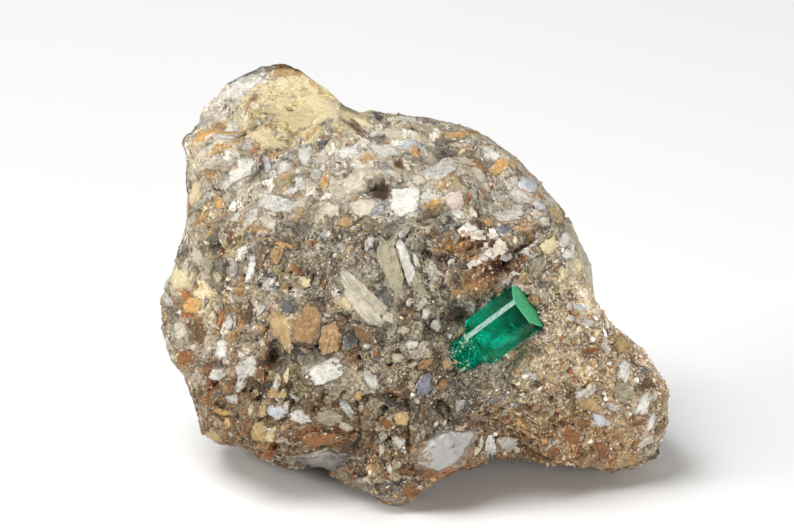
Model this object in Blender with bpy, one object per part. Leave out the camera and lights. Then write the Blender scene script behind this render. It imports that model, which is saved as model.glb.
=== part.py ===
"""Emerald in matrix: a hexagonal emerald crystal lying in a hand-sized block of breccia.

The block is laid out in its show frame, which leans back by SHOW_TILT: x runs to the right, s runs up the
leaning plane and t comes out of it. An outline in x and s bounds the block and broken faces bound it in t.
Lumps, ledges, pits and scoops are then raised from that form or sunk into it, and the underside is brought
down to three feet that stand on one plane. Lengths are in millimetres up to the point where a mesh is made.
"""

import itertools
import math

import bmesh
import bpy
import numpy as np

MM = 0.001
SHOW_TILT = math.radians(22.0)
# Where the hub, the point that the outline turns about, lies in the row's frame.
HUB_X = -0.7
HUB_Y = 0.9
HUB_HEIGHT = 27.9

# Corners of the block's outline, (x, s), from the right-hand side and round by the top.
OUTLINE = (
    (29.4, 0.0), (29.0, 5.4), (26.7, 9.6), (25.0, 13.4), (22.2, 17.3), (18.9, 21.1), (14.2, 25.0),
    (8.8, 27.7), (4.8, 28.8), (0.8, 29.3), (-4.0, 29.8), (-6.2, 30.4), (-8.0, 29.8), (-10.4, 30.9),
    (-13.6, 33.9), (-17.6, 36.8), (-20.3, 37.8), (-23.7, 37.6), (-29.6, 34.6), (-33.8, 30.7),
    (-34.1, 28.8), (-36.5, 25.1), (-35.7, 22.9), (-35.8, 17.3), (-35.8, 11.5), (-37.6, 7.2),
    (-39.8, 0.0), (-40.0, -2.2), (-39.2, -6.1), (-37.9, -9.6), (-36.2, -11.7), (-34.7, -15.4),
    (-33.1, -21.4), (-31.7, -23.0), (-27.2, -23.7), (-22.4, -26.7), (-13.6, -27.0), (-10.6, -28.8),
    (-6.4, -31.0), (-4.0, -32.6), (-1.6, -33.1), (0.3, -32.5), (4.0, -28.8), (8.0, -27.2),
    (12.8, -25.6), (17.6, -25.4), (22.4, -26.2), (28.8, -26.9), (33.2, -27.8), (36.1, -27.5),
    (39.9, -25.5), (40.4, -23.2), (41.2, -20.2), (41.2, -16.2), (41.0, -13.6), (39.6, -11.2),
    (37.2, -7.8), (35.0, -5.9), (32.0, -4.1), (30.4, -1.9),
)
OUTLINE_BLUR = math.radians(22.0)
OUTLINE_HOLD = 5.0
FRONT_DEPTH = 25.0
BACK_DEPTH = 30.0
BOXINESS = 0.78
FACE_ROUNDING = 1.5

# Broken faces, (t over the hub, rise of t per mm of x, rise of t per mm of s).
FRONT_FACES = (
    (19.5, -0.05, -0.14),
    (24.5, 0.06, -0.66),
    (25.0, -0.42, -0.08),
    (28.0, 0.62, -0.05),
    (25.5, 0.06, 0.40),
    (29.0, -0.46, 0.34),
)
BACK_FACES = (
    (25.0, 0.12, -0.24),
    (28.0, -0.46, -0.30),
    (29.0, 0.52, -0.10),
    (28.0, 0.04, -0.62),
)

# The outline's own depth: the nose of the front foot comes forward, and the base beside it lies back.
NOSE_X = -1.6
NOSE_WIDTH = 10.5
NOSE_FORWARD = 12.5
BASE_SET_BACK = -5.6
BASE_STARTS = -15.0
BASE_FULL = -26.0

# The pale peak stands behind the block's upper ledge. The ledge line, (x, s), rises from left to right.
LEDGE_LINE = (
    (-40.0, 10.0), (-29.0, 17.0), (-21.0, 21.5), (-17.6, 27.2), (-8.0, 28.8), (0.0, 29.6), (10.0, 40.0),
)
LEDGE_DROP = 3.2
LEDGE_WIDTH = 1.6

# Forms raised from the front, or sunk into it: (x, s, half length, half width, turn in degrees, lift).
FRONT_FORMS = (
    # Vug over the crystal, the ledge of small crystals above it, and the shelf under it.
    (15.0, 5.6, 3.2, 1.7, 20.0, -2.6),
    (10.8, 7.6, 2.6, 1.5, 0.0, -1.2),
    (15.6, 8.8, 2.9, 1.0, 24.0, 1.3),
    (11.5, 3.4, 2.6, 1.6, 60.0, 0.9),
    # Hollow round the crystal's root and the rim on its far side.
    (7.0, -9.6, 3.6, 3.2, 37.0, -2.3),
    (19.8, -6.4, 5.0, 2.2, -50.0, 0.8),
    # Scoops broken out of the lower edge.
    (-13.6, -25.4, 5.4, 2.3, 4.0, -3.4),
    (20.0, -25.6, 6.0, 2.0, 0.0, -1.8),
    # Open pits.
    (-21.8, -9.6, 1.5, 1.9, 10.0, -2.2),
    (-5.2, 17.4, 2.3, 1.4, 30.0, -1.5),
    (-2.2, 21.8, 1.3, 1.1, 0.0, -1.0),
    (-9.0, 27.6, 2.2, 0.9, -36.0, -1.6),
    (-4.2, 0.0, 1.1, 1.9, 20.0, -1.4),
    # Big fragments that stand proud.
    (-34.4, -0.9, 1.6, 1.9, 0.0, 0.9),
    (-36.4, 4.2, 1.9, 2.8, -14.0, 0.8),
    (-34.0, -5.0, 1.5, 2.6, 10.0, -0.7),
    (-19.8, -5.4, 2.2, 4.2, 26.0, 1.0),
    (-14.2, -4.2, 3.9, 4.0, 0.0, 1.2),
    (-8.8, -0.4, 4.6, 1.9, -42.0, 1.5),
    (-8.2, -5.0, 2.7, 1.3, -30.0, 0.8),
    (-13.2, -11.8, 3.8, 2.5, 8.0, 1.3),
    (-9.6, -18.2, 2.9, 3.4, -10.0, 0.8),
    (1.6, -13.8, 1.9, 2.6, 14.0, 0.6),
    (6.2, -23.6, 5.2, 3.0, 26.0, 1.3),
    (15.4, 13.6, 2.3, 1.2, 8.0, 0.9),
    (-16.6, 22.6, 2.3, 2.4, 0.0, -0.9),
    (-14.0, 25.2, 1.3, 1.2, 0.0, 0.9),
    (1.0, 10.4, 1.5, 5.4, 6.0, 0.8),
    (-1.6, 9.6, 1.0, 5.2, 14.0, 0.7),
    (3.6, 9.0, 1.2, 4.4, 10.0, 0.5),
    (-2.0, 20.4, 5.6, 3.6, -10.0, 0.9),
    (24.0, 7.4, 3.6, 4.4, 0.0, 0.7),
    (34.0, -11.8, 2.8, 2.0, -20.0, 1.0),
    (36.4, -15.6, 2.2, 2.6, 0.0, 0.9),
    (37.4, -20.6, 2.0, 2.8, 0.0, 0.9),
    (30.6, -17.0, 2.4, 2.2, 0.0, 0.8),
    (21.6, -20.2, 3.4, 1.0, -40.0, 0.7),
    (-29.4, 27.4, 6.8, 1.1, 32.0, 1.2),
    (-31.0, 22.0, 5.4, 0.9, 20.0, 0.9),
    (-27.0, 20.0, 5.0, 0.8, 42.0, 0.9),
    (-25.5, 31.5, 6.6, 1.5, 40.0, 1.0),
    (-29.0, 12.0, 1.4, 4.2, 10.0, 0.7),
)

# The feet, (x, y, half width), reach the plane that the block stands on. The underside clears it elsewhere.
FEET = ((-2.4, -18.0, 4.0), (32.5, -2.6, 6.0), (-20.0, -1.0, 6.0), (3.0, 15.0, 5.0))
UNDERSIDE_CLEARANCE = 1.5
FOOT_REACH = 2.7
UNDERSIDE_ROUNDING = 0.5

# Relief all over the block: (longest wave, height) of the lumps, (size, height, tilt) of the fragments.
LUMPS = ((26.0, 0.75), (12.0, 0.42), (6.5, 0.22))
LUMP_WAVES = 26
FRAGMENTS = ((7.5, 0.70, 0.19), (3.6, 0.36, 0.21))
SEAM_WIDTH = 0.14
SEAM_DEPTH = 0.35
# The share of the relief that is left at the outline, and on the back.
RIM_RELIEF = 0.35
BACK_RELIEF = 0.65

BLOCK_ROUNDS = 6
BLOCK_TRIANGLES = 9200

# The crystal: where its middle lies in the show frame, how its long axis turns, rises and rolls.
CRYSTAL_X = 14.9
CRYSTAL_S = -3.7
CRYSTAL_T = 18.2
CRYSTAL_TURN = math.radians(37.0)
CRYSTAL_RISE = math.radians(21.0)
CRYSTAL_ROLL = math.radians(3.0)
CRYSTAL_RADIUS = 4.03
# Each edge along the crystal is a narrow face. Half its width as an angle, and the one wide enough to see.
EDGE_BEVEL = 0.03
SHOWN_BEVEL = 0.082
SHOWN_EDGE = 1
SOCKET_GAP = 0.3

# The rock round the crystal is drawn to a bed that slopes with it, this far under its axis.
BED_DEPTH = 0.7
BED_REACH = (5.0, 12.0)
BED_SLOPE = (0.26, 0.14)

# Sections along the crystal, from its broken root: (distance, share of radius, shift down a side, slant).
CRYSTAL_SECTIONS = (
    (-10.7, 0.48, 0.45, 0.24),
    (-9.9, 0.64, 0.45, 0.22),
    (-7.6, 0.70, 0.42, 0.14),
    (-5.9, 0.73, 0.36, 0.12),
    (-5.65, 0.95, 0.06, 0.12),
    (-5.4, 1.0, 0.0, 0.12),
    (4.75, 1.0, 0.0, 0.03),
    (5.0, 0.96, 0.0, 0.03),
)


def clear_scene():
    """Removes the startup scene's objects."""
    for obj in list(bpy.data.objects):
        bpy.data.objects.remove(obj, do_unlink=True)


def finish_material(name, colour, roughness, transmission=0.0):
    """A plain surface of one colour and roughness."""
    material = bpy.data.materials.new(name)
    material.use_nodes = True
    shader = material.node_tree.nodes["Principled BSDF"]
    shader.inputs["Base Color"].default_value = (*colour, 1.0)
    shader.inputs["Roughness"].default_value = roughness
    shader.inputs["Metallic"].default_value = 0.0
    shader.inputs["Transmission Weight"].default_value = transmission
    return material


def to_row(points):
    """Show-frame millimetres to the row's frame in metres."""
    x, s, t = points.T
    across = HUB_X + x
    back = HUB_Y + s * math.sin(SHOW_TILT) - t * math.cos(SHOW_TILT)
    up = HUB_HEIGHT + s * math.cos(SHOW_TILT) + t * math.sin(SHOW_TILT)
    return np.column_stack((across, back, up)) * MM


def to_show(points):
    """The row's frame in metres to show-frame millimetres."""
    across, back, up = (points / MM).T
    back = back - HUB_Y
    up = up - HUB_HEIGHT
    s = back * math.sin(SHOW_TILT) + up * math.cos(SHOW_TILT)
    t = up * math.sin(SHOW_TILT) - back * math.cos(SHOW_TILT)
    return np.column_stack((across - HUB_X, s, t))


def ramp(value, low, high):
    """0 below low, 1 above high, with a smooth rise between them."""
    share = np.clip((value - low) / (high - low), 0.0, 1.0)
    return share * share * (3.0 - 2.0 * share)


def soft_least(values, rounding):
    """The least of several arrays, rounded over where two of them meet."""
    stack = np.stack(values)
    lowest = stack.min(axis=0)
    return lowest - rounding * np.log(np.exp((lowest - stack) / rounding).sum(axis=0))


def outline_radius(angle):
    """Distance from the hub to the outline at each angle."""
    corners = np.array(OUTLINE)
    corner_angle = np.arctan2(corners[:, 1], corners[:, 0])
    corner_radius = np.hypot(corners[:, 0], corners[:, 1])
    return np.interp(angle, corner_angle, corner_radius, period=2.0 * math.pi)


def outline_depth(x, s):
    """Depth t of the surface that the outline lies in."""
    low = ramp(-s, -BASE_STARTS, -BASE_FULL)
    nose = np.exp(-(((x - NOSE_X) / NOSE_WIDTH) ** 2))
    return low * (BASE_SET_BACK + NOSE_FORWARD * nose)


def broken_faces(faces, x, s):
    """Depth of each broken face at x and s."""
    return [over_hub + along_x * x + along_s * s for over_hub, along_x, along_s in faces]


def waves(points, longest, height, seed):
    """A sum of cosine waves in seeded directions, each between a half and the whole of the longest."""
    rng = np.random.default_rng(seed)
    direction = rng.normal(size=(LUMP_WAVES, 3))
    direction /= np.linalg.norm(direction, axis=1, keepdims=True)
    length = longest * rng.uniform(0.5, 1.0, LUMP_WAVES)
    phase = rng.uniform(0.0, 2.0 * math.pi, LUMP_WAVES)
    turns = points @ (direction * (2.0 * math.pi / length)[:, None]).T + phase
    return np.cos(turns).sum(axis=1) * height * math.sqrt(2.0 / LUMP_WAVES)


def lattice_numbers(corner, seed):
    """Three numbers from 0 to 1 for each whole-number corner, always the same for the same corner."""
    mixed = corner.astype(np.uint64) * np.array([73856093, 19349663, 83492791], np.uint64)
    key = mixed[:, 0] ^ mixed[:, 1] ^ mixed[:, 2] ^ np.uint64(seed * 2654435761 % 2**32)
    columns = []
    for _ in range(3):
        key = (key ^ (key >> np.uint64(15))) * np.uint64(2246822519) & np.uint64(0xFFFFFFFF)
        key = (key ^ (key >> np.uint64(13))) * np.uint64(3266489917) & np.uint64(0xFFFFFFFF)
        columns.append(key.astype(float) / 2.0**32)
    return np.column_stack(columns)


def fragments(points, size, seed):
    """Splits space into one cell about each point of a jittered lattice.

    Returns the vector from the cell's own point, three numbers of the cell and how much nearer its own point
    is than the next one, as a share of the size.
    """
    home = np.floor(points / size).astype(np.int64)
    nearest = np.full(len(points), np.inf)
    second = np.full(len(points), np.inf)
    away = np.zeros_like(points)
    numbers = np.zeros_like(points)
    for step in itertools.product((-1, 0, 1), repeat=3):
        corner = home + step
        jitter = lattice_numbers(corner, seed)
        offset = points - (corner + jitter) * size
        distance = np.linalg.norm(offset, axis=1)
        closer = distance < nearest
        second = np.where(closer, nearest, np.minimum(second, distance))
        nearest = np.where(closer, distance, nearest)
        away[closer] = offset[closer]
        numbers[closer] = lattice_numbers(corner[closer], seed + 1)
    return away, numbers, (second - nearest) / size


def broad_form(direction):
    """Show-frame points of the block before its relief, one for each unit direction from the hub.

    The angle round t picks a point of the outline and the share across picks how far out towards it. Depth
    grows from the outline inwards as on a boxy dome, and the broken faces cut it off.
    """
    angle = np.arctan2(direction[:, 1], direction[:, 0])
    reach = np.hypot(direction[:, 0], direction[:, 1]) ** BOXINESS
    rise = np.abs(direction[:, 2]) ** BOXINESS
    sharp = outline_radius(angle)
    soft = np.mean([outline_radius(angle + OUTLINE_BLUR * k / 6.0) for k in range(-6, 7)], axis=0)
    radius = (soft + (sharp - soft) * reach**OUTLINE_HOLD) * reach
    x = radius * np.cos(angle)
    s = radius * np.sin(angle)
    middle = outline_depth(x, s)
    front = soft_least([middle + FRONT_DEPTH * rise, *broken_faces(FRONT_FACES, x, s)], FACE_ROUNDING)
    back = soft_least([BACK_DEPTH * rise - middle, *broken_faces(BACK_FACES, x, s)], FACE_ROUNDING)
    return np.column_stack((x, s, np.where(direction[:, 2] > 0.0, front, -back)))


def front_share(points):
    """1 on the show side, 0 on the back, for forms that belong to the show side only."""
    return ramp(points[:, 2] - outline_depth(points[:, 0], points[:, 1]), 0.0, 4.0)


def ledge_relief(points):
    """How far the peak is set back behind the upper ledge."""
    line = np.array(LEDGE_LINE)
    above = points[:, 1] - np.interp(points[:, 0], line[:, 0], line[:, 1])
    return -LEDGE_DROP * ramp(above, 0.0, LEDGE_WIDTH)


def form_relief(points):
    """Lift of the named forms: flat-topped mounds and pits with sloping sides."""
    lift = np.zeros(len(points))
    for x, s, half_length, half_width, turn, height in FRONT_FORMS:
        cosine, sine = math.cos(math.radians(turn)), math.sin(math.radians(turn))
        right, up = points[:, 0] - x, points[:, 1] - s
        along = (right * cosine + up * sine) / half_length
        across = (up * cosine - right * sine) / half_width
        edge = (np.abs(along) ** 2.6 + np.abs(across) ** 2.6) ** (1.0 / 2.6)
        lift += height * (1.0 - ramp(edge, 0.62, 1.15))
    return lift


def bed_pull(points):
    """How far, and with what share, each point is drawn to the bed that the crystal lies in."""
    right, up = points[:, 0] - CRYSTAL_X, points[:, 1] - CRYSTAL_S
    distance = np.hypot(right, up)
    share = 1.0 - ramp(distance, *BED_REACH)
    bed = CRYSTAL_T - BED_DEPTH + BED_SLOPE[0] * right + BED_SLOPE[1] * up
    return share * (bed - points[:, 2])


def fragment_relief(points):
    """Height of the angular fragments, each set at its own level and tilt, with a seam round it."""
    height = np.zeros(len(points))
    for number, (size, level, tilt) in enumerate(FRAGMENTS):
        away, numbers, gap = fragments(points, size, 11 + 5 * number)
        slope = (numbers - 0.5) * 2.0 * tilt
        height += level * (numbers[:, 0] + numbers[:, 2] - 1.0) + (away * slope).sum(axis=1)
        height -= SEAM_DEPTH * level * (1.0 - ramp(gap, 0.0, SEAM_WIDTH))
    return height


def outward(points):
    """Unit directions out of the block, from a spine that runs along its length."""
    spine = np.column_stack((points[:, 0] * 0.72, points[:, 1] * 0.55, points[:, 2] * 0.0))
    direction = points - spine
    return direction / np.linalg.norm(direction, axis=1, keepdims=True)


def underside(points):
    """Lifts what lies under the block on to an uneven floor that dips to the standing plane at the feet."""
    row = to_row(points) / MM
    floor = UNDERSIDE_CLEARANCE + 0.35 * waves(row, 9.0, 1.0, 71)
    for x, y, half_width in FEET:
        distance = np.hypot(row[:, 0] - x, row[:, 1] - y) / half_width
        floor -= FOOT_REACH * (1.0 - ramp(distance, 0.35, 1.25))
    row[:, 2] = -soft_least([-row[:, 2], -floor], UNDERSIDE_ROUNDING)
    return to_show(row * MM)


def block_surface(direction):
    """Show-frame points of the whole block, one for each unit direction from the hub."""
    points = broad_form(direction)
    front = front_share(points)
    points[:, 2] += front * bed_pull(points)
    relief = fragment_relief(points)
    for number, (longest, height) in enumerate(LUMPS):
        relief += waves(points, longest, height, 31 + number)
    relief *= 1.0 - (1.0 - RIM_RELIEF) * ramp(np.hypot(direction[:, 0], direction[:, 1]), 0.86, 1.0)
    relief *= BACK_RELIEF + (1.0 - BACK_RELIEF) * front
    shaped = points + outward(points) * relief[:, None]
    shaped[:, 2] += front * (ledge_relief(points) + form_relief(points))
    return underside(shaped)


def crystal_frame():
    """The crystal's middle in the show frame, and its three axes: across, out of its main face, and along."""
    turn = np.array((math.cos(CRYSTAL_TURN), math.sin(CRYSTAL_TURN), 0.0))
    along = turn * math.cos(CRYSTAL_RISE) + np.array((0.0, 0.0, math.sin(CRYSTAL_RISE)))
    aside = np.cross((0.0, 0.0, 1.0), turn)
    out = np.cross(along, aside)
    across = aside * math.cos(CRYSTAL_ROLL) + out * math.sin(CRYSTAL_ROLL)
    middle = np.array((CRYSTAL_X, CRYSTAL_S, CRYSTAL_T))
    return middle, across, np.cross(along, across), along


def crystal_profile(radius):
    """Twelve points round the crystal: a hexagon with each of its edges taken off by a narrow face."""
    bevel = np.full(6, EDGE_BEVEL)
    bevel[SHOWN_EDGE] = SHOWN_BEVEL
    angle = (np.radians(60.0 * np.arange(6))[:, None] + bevel[:, None] * (-1.0, 1.0)).ravel()
    return np.column_stack((np.cos(angle), np.sin(angle))) * radius


def crystal_mesh(grow):
    """The crystal as rings of its profile along its axis, every side moved out by grow."""
    middle, across, out, along = crystal_frame()
    mesh = bmesh.new()
    rings = []
    last = len(CRYSTAL_SECTIONS) - 1
    for number, (distance, share, shift, slant) in enumerate(CRYSTAL_SECTIONS):
        end = {0: -grow, last: grow}.get(number, 0.0)
        profile = crystal_profile(CRYSTAL_RADIUS * share + grow)
        reach = distance + end + slant * profile[:, :1]
        places = middle + profile[:, :1] * across + (profile[:, 1:] - shift * 0.5) * out + reach * along
        places -= across * shift
        rings.append([mesh.verts.new(place) for place in to_row(places)])
    for lower, upper in itertools.pairwise(rings):
        for k in range(len(lower)):
            n = (k + 1) % len(lower)
            mesh.faces.new((lower[k], lower[n], upper[n], upper[k]))
    mesh.faces.new(rings[0][::-1])
    mesh.faces.new(rings[-1])
    bmesh.ops.recalc_face_normals(mesh, faces=mesh.faces)
    return mesh


def mesh_object(name, mesh, material=None):
    """An object that holds this bmesh."""
    data = bpy.data.meshes.new(name)
    mesh.to_mesh(data)
    mesh.free()
    obj = bpy.data.objects.new(name, data)
    bpy.context.scene.collection.objects.link(obj)
    if material is not None:
        data.materials.append(material)
    return obj


def hide_cutter(obj):
    """Marks a helper that is cut away and isn't part of the object."""
    obj.hide_render = True
    obj.display_type = "WIRE"


def cut(obj, cutter):
    """Cuts the helper's shape out of obj."""
    modifier = obj.modifiers.new("cut_" + cutter.name, "BOOLEAN")
    modifier.operation = "DIFFERENCE"
    modifier.solver = "EXACT"
    modifier.object = cutter


def make_block(material):
    """The breccia block, shaped on a fine ball, thinned where it is flat, then cut level under its feet."""
    mesh = bmesh.new()
    bmesh.ops.create_icosphere(mesh, subdivisions=BLOCK_ROUNDS, radius=1.0)
    direction = np.array([v.co for v in mesh.verts])
    direction /= np.linalg.norm(direction, axis=1, keepdims=True)
    places = to_row(block_surface(direction))
    for vert, place in zip(mesh.verts, places):
        vert.co = place
    triangles = len(mesh.faces)
    block = mesh_object("matrix", mesh, material)
    # The show frame's axes run x, s, t to the row's +X, +Z, -Y, so the ball's faces still point out.
    thin = block.modifiers.new("thin", "DECIMATE")
    thin.ratio = BLOCK_TRIANGLES / triangles
    return block


def make_ground_cutter():
    """Everything below the plane that the block stands on."""
    size = 0.2
    mesh = bmesh.new()
    bmesh.ops.create_cube(mesh, size=size)
    bmesh.ops.translate(mesh, verts=mesh.verts, vec=(0.0, 0.0, -size / 2.0))
    cutter = mesh_object("ground_cutter", mesh)
    hide_cutter(cutter)
    return cutter


def make_socket_cutter():
    """The crystal, a little larger all round, which the block is hollowed by."""
    cutter = mesh_object("socket_cutter", crystal_mesh(SOCKET_GAP))
    hide_cutter(cutter)
    return cutter


def main():
    clear_scene()
    stone = finish_material("breccia", (0.50, 0.44, 0.35), 0.85)
    green = finish_material("emerald", (0.02, 0.42, 0.20), 0.08, 0.6)
    block = make_block(stone)
    cut(block, make_ground_cutter())
    cut(block, make_socket_cutter())
    mesh_object("emerald", crystal_mesh(0.0), green)


main()
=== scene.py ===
"""Emerald in matrix, dressed: the hexagonal crystal and the breccia that it lies in.

The stone is one skin with low relief, set with flat fragments of each mineral, coarse and fine grit and
sand. The crystal is clear, with a frosted end, a painted highlight on its wide edge, veils inside it along
fractures, some of them standing in for glints, and calcite on its broken root.
Places on the show side are given on a plan: steps of PLAN_STEP to the right and down, as the stone is seen.
Lengths are in millimetres up to the point where a mesh is made.
"""

import itertools
import math

import bpy
import numpy as np
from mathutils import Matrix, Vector


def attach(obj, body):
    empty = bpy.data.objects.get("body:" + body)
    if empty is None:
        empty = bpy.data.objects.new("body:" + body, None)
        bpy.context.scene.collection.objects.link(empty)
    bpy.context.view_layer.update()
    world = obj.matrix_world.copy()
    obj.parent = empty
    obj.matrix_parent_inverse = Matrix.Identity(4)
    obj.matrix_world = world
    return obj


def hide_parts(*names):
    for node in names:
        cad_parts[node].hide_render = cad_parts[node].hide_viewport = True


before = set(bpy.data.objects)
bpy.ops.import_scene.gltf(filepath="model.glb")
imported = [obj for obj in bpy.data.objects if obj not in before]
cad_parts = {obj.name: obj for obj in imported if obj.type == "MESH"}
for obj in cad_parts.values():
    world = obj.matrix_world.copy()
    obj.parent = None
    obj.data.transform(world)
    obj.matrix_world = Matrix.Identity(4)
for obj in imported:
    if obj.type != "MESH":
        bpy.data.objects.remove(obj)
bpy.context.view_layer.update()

MM = 0.001
SHOW_TILT = math.radians(22.0)
HUB_X = -0.7
HUB_Y = 0.9
HUB_HEIGHT = 27.9

# The way from the stone to the viewer, in the row's frame.
VIEW_AXIS = (0.0, -math.cos(SHOW_TILT), math.sin(SHOW_TILT))

# The plan: the size of a step, the step at the hub, and the step in the middle of the view.
PLAN_STEP = 0.16
STEP_SIZE = np.array((PLAN_STEP, -PLAN_STEP))
STEPS_PER_MM = 1.0 / STEP_SIZE
PLAN_HUB = (410.0, 300.0)
PLAN_MIDDLE = (397.0, 264.5)
PLAN_WIDTH = 794
# The camera's distance from the depth at which a plan step is exactly PLAN_STEP.
VIEW_DISTANCE = 1400.0
VIEW_DEPTH = 8.0
SENSOR_WIDTH = 36.0

# Corners of the block's outline, (x, s), from the right-hand side and round by the top.
OUTLINE = (
    (29.4, 0.0), (29.0, 5.4), (26.7, 9.6), (25.0, 13.4), (22.2, 17.3), (18.9, 21.1), (14.2, 25.0),
    (8.8, 27.7), (4.8, 28.8), (0.8, 29.3), (-4.0, 29.8), (-6.2, 30.4), (-8.0, 29.8), (-10.4, 30.9),
    (-13.6, 33.9), (-17.6, 36.8), (-20.3, 37.8), (-23.7, 37.6), (-29.6, 34.6), (-33.8, 30.7),
    (-34.1, 28.8), (-36.5, 25.1), (-35.7, 22.9), (-35.8, 17.3), (-35.8, 11.5), (-37.6, 7.2),
    (-39.8, 0.0), (-40.0, -2.2), (-39.2, -6.1), (-37.9, -9.6), (-36.2, -11.7), (-34.7, -15.4),
    (-33.1, -21.4), (-31.7, -23.0), (-27.2, -23.7), (-22.4, -26.7), (-13.6, -27.0), (-10.6, -28.8),
    (-6.4, -31.0), (-4.0, -32.6), (-1.6, -33.1), (0.3, -32.5), (4.0, -28.8), (8.0, -27.2),
    (12.8, -25.6), (17.6, -25.4), (22.4, -26.2), (28.8, -26.9), (33.2, -27.8), (36.1, -27.5),
    (39.9, -25.5), (40.4, -23.2), (41.2, -20.2), (41.2, -16.2), (41.0, -13.6), (39.6, -11.2),
    (37.2, -7.8), (35.0, -5.9), (32.0, -4.1), (30.4, -1.9),
)
OUTLINE_BLUR = math.radians(22.0)
OUTLINE_HOLD = 5.0
# How a place on the stone is found: halvings of the way out, and corrections for its depth.
HALVINGS = 24
CORRECTIONS = 3
CORRECTION_SHARE = 0.9
FRONT_DEPTH = 25.0
BACK_DEPTH = 30.0
BOXINESS = 0.78
FACE_ROUNDING = 1.5

# Broken faces, (t over the hub, rise of t per mm of x, rise of t per mm of s).
FRONT_FACES = (
    (19.5, -0.05, -0.14),
    (24.5, 0.06, -0.66),
    (25.0, -0.42, -0.08),
    (28.0, 0.62, -0.05),
    (25.5, 0.06, 0.40),
    (29.0, -0.46, 0.34),
)
BACK_FACES = (
    (25.0, 0.12, -0.24),
    (28.0, -0.46, -0.30),
    (29.0, 0.52, -0.10),
    (28.0, 0.04, -0.62),
)

# The outline's own depth: the nose of the front foot comes forward, and the base beside it lies back.
NOSE_X = -1.6
NOSE_WIDTH = 10.5
NOSE_FORWARD = 12.5
BASE_SET_BACK = -5.6
BASE_STARTS = -15.0
BASE_FULL = -26.0

# The pale peak stands behind the block's upper ledge. The ledge line, (x, s), rises from left to right.
LEDGE_LINE = (
    (-40.0, 10.0), (-29.0, 17.0), (-21.0, 21.5), (-17.6, 27.2), (-8.0, 28.8), (0.0, 29.6), (10.0, 40.0),
)
LEDGE_DROP = 3.2
LEDGE_WIDTH = 1.6

# Forms raised from the front, or sunk into it: (x, s, half length, half width, turn in degrees, lift).
FRONT_FORMS = (
    # Vug over the crystal, the ledge of small crystals above it, and the shelf under it.
    (15.0, 5.6, 3.2, 1.7, 20.0, -2.6),
    (10.8, 7.6, 2.6, 1.5, 0.0, -1.2),
    (15.6, 8.8, 2.9, 1.0, 24.0, 1.3),
    (11.5, 3.4, 2.6, 1.6, 60.0, 0.9),
    # Hollow round the crystal's root and the rim on its far side.
    (7.0, -9.6, 3.6, 3.2, 37.0, -2.3),
    (19.8, -6.4, 5.0, 2.2, -50.0, 0.8),
    # Scoops broken out of the lower edge.
    (-13.6, -25.4, 5.4, 2.3, 4.0, -3.4),
    (20.0, -25.6, 6.0, 2.0, 0.0, -1.8),
    # Open pits.
    (-21.8, -9.6, 1.5, 1.9, 10.0, -2.2),
    (-5.2, 17.4, 2.3, 1.4, 30.0, -1.5),
    (-2.2, 21.8, 1.3, 1.1, 0.0, -1.0),
    (-9.0, 27.6, 2.2, 0.9, -36.0, -1.6),
    (-4.2, 0.0, 1.1, 1.9, 20.0, -1.4),
    # Big fragments that stand proud.
    (-34.4, -0.9, 1.6, 1.9, 0.0, 0.9),
    (-36.4, 4.2, 1.9, 2.8, -14.0, 0.8),
    (-34.0, -5.0, 1.5, 2.6, 10.0, -0.7),
    (-19.8, -5.4, 2.2, 4.2, 26.0, 1.0),
    (-14.2, -4.2, 3.9, 4.0, 0.0, 1.2),
    (-8.8, -0.4, 4.6, 1.9, -42.0, 1.5),
    (-8.2, -5.0, 2.7, 1.3, -30.0, 0.8),
    (-13.2, -11.8, 3.8, 2.5, 8.0, 1.3),
    (-9.6, -18.2, 2.9, 3.4, -10.0, 0.8),
    (1.6, -13.8, 1.9, 2.6, 14.0, 0.6),
    (6.2, -23.6, 5.2, 3.0, 26.0, 1.3),
    (15.4, 13.6, 2.3, 1.2, 8.0, 0.9),
    (-16.6, 22.6, 2.3, 2.4, 0.0, -0.9),
    (-14.0, 25.2, 1.3, 1.2, 0.0, 0.9),
    (1.0, 10.4, 1.5, 5.4, 6.0, 0.8),
    (-1.6, 9.6, 1.0, 5.2, 14.0, 0.7),
    (3.6, 9.0, 1.2, 4.4, 10.0, 0.5),
    (-2.0, 20.4, 5.6, 3.6, -10.0, 0.9),
    (24.0, 7.4, 3.6, 4.4, 0.0, 0.7),
    (34.0, -11.8, 2.8, 2.0, -20.0, 1.0),
    (36.4, -15.6, 2.2, 2.6, 0.0, 0.9),
    (37.4, -20.6, 2.0, 2.8, 0.0, 0.9),
    (30.6, -17.0, 2.4, 2.2, 0.0, 0.8),
    (21.6, -20.2, 3.4, 1.0, -40.0, 0.7),
    (-29.4, 27.4, 6.8, 1.1, 32.0, 1.2),
    (-31.0, 22.0, 5.4, 0.9, 20.0, 0.9),
    (-27.0, 20.0, 5.0, 0.8, 42.0, 0.9),
    (-25.5, 31.5, 6.6, 1.5, 40.0, 1.0),
    (-29.0, 12.0, 1.4, 4.2, 10.0, 0.7),
)

# How boxy those forms are, and where their sides slope, in half sizes from the middle.
FORM_POWER = 2.6
FORM_SLOPE = (0.62, 1.15)

# The feet, (x, y, half width), reach the plane that the block stands on. The underside clears it elsewhere.
FEET = ((-2.4, -18.0, 4.0), (32.5, -2.6, 6.0), (-20.0, -1.0, 6.0), (3.0, 15.0, 5.0))
UNDERSIDE_CLEARANCE = 1.5
FOOT_REACH = 2.7
UNDERSIDE_ROUNDING = 0.5
# The underside's waves, (longest, height), and where a foot rises, in half widths from its middle.
UNDERSIDE_WAVES = (9.0, 0.35)
FOOT_SLOPE = (0.35, 1.25)

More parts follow.
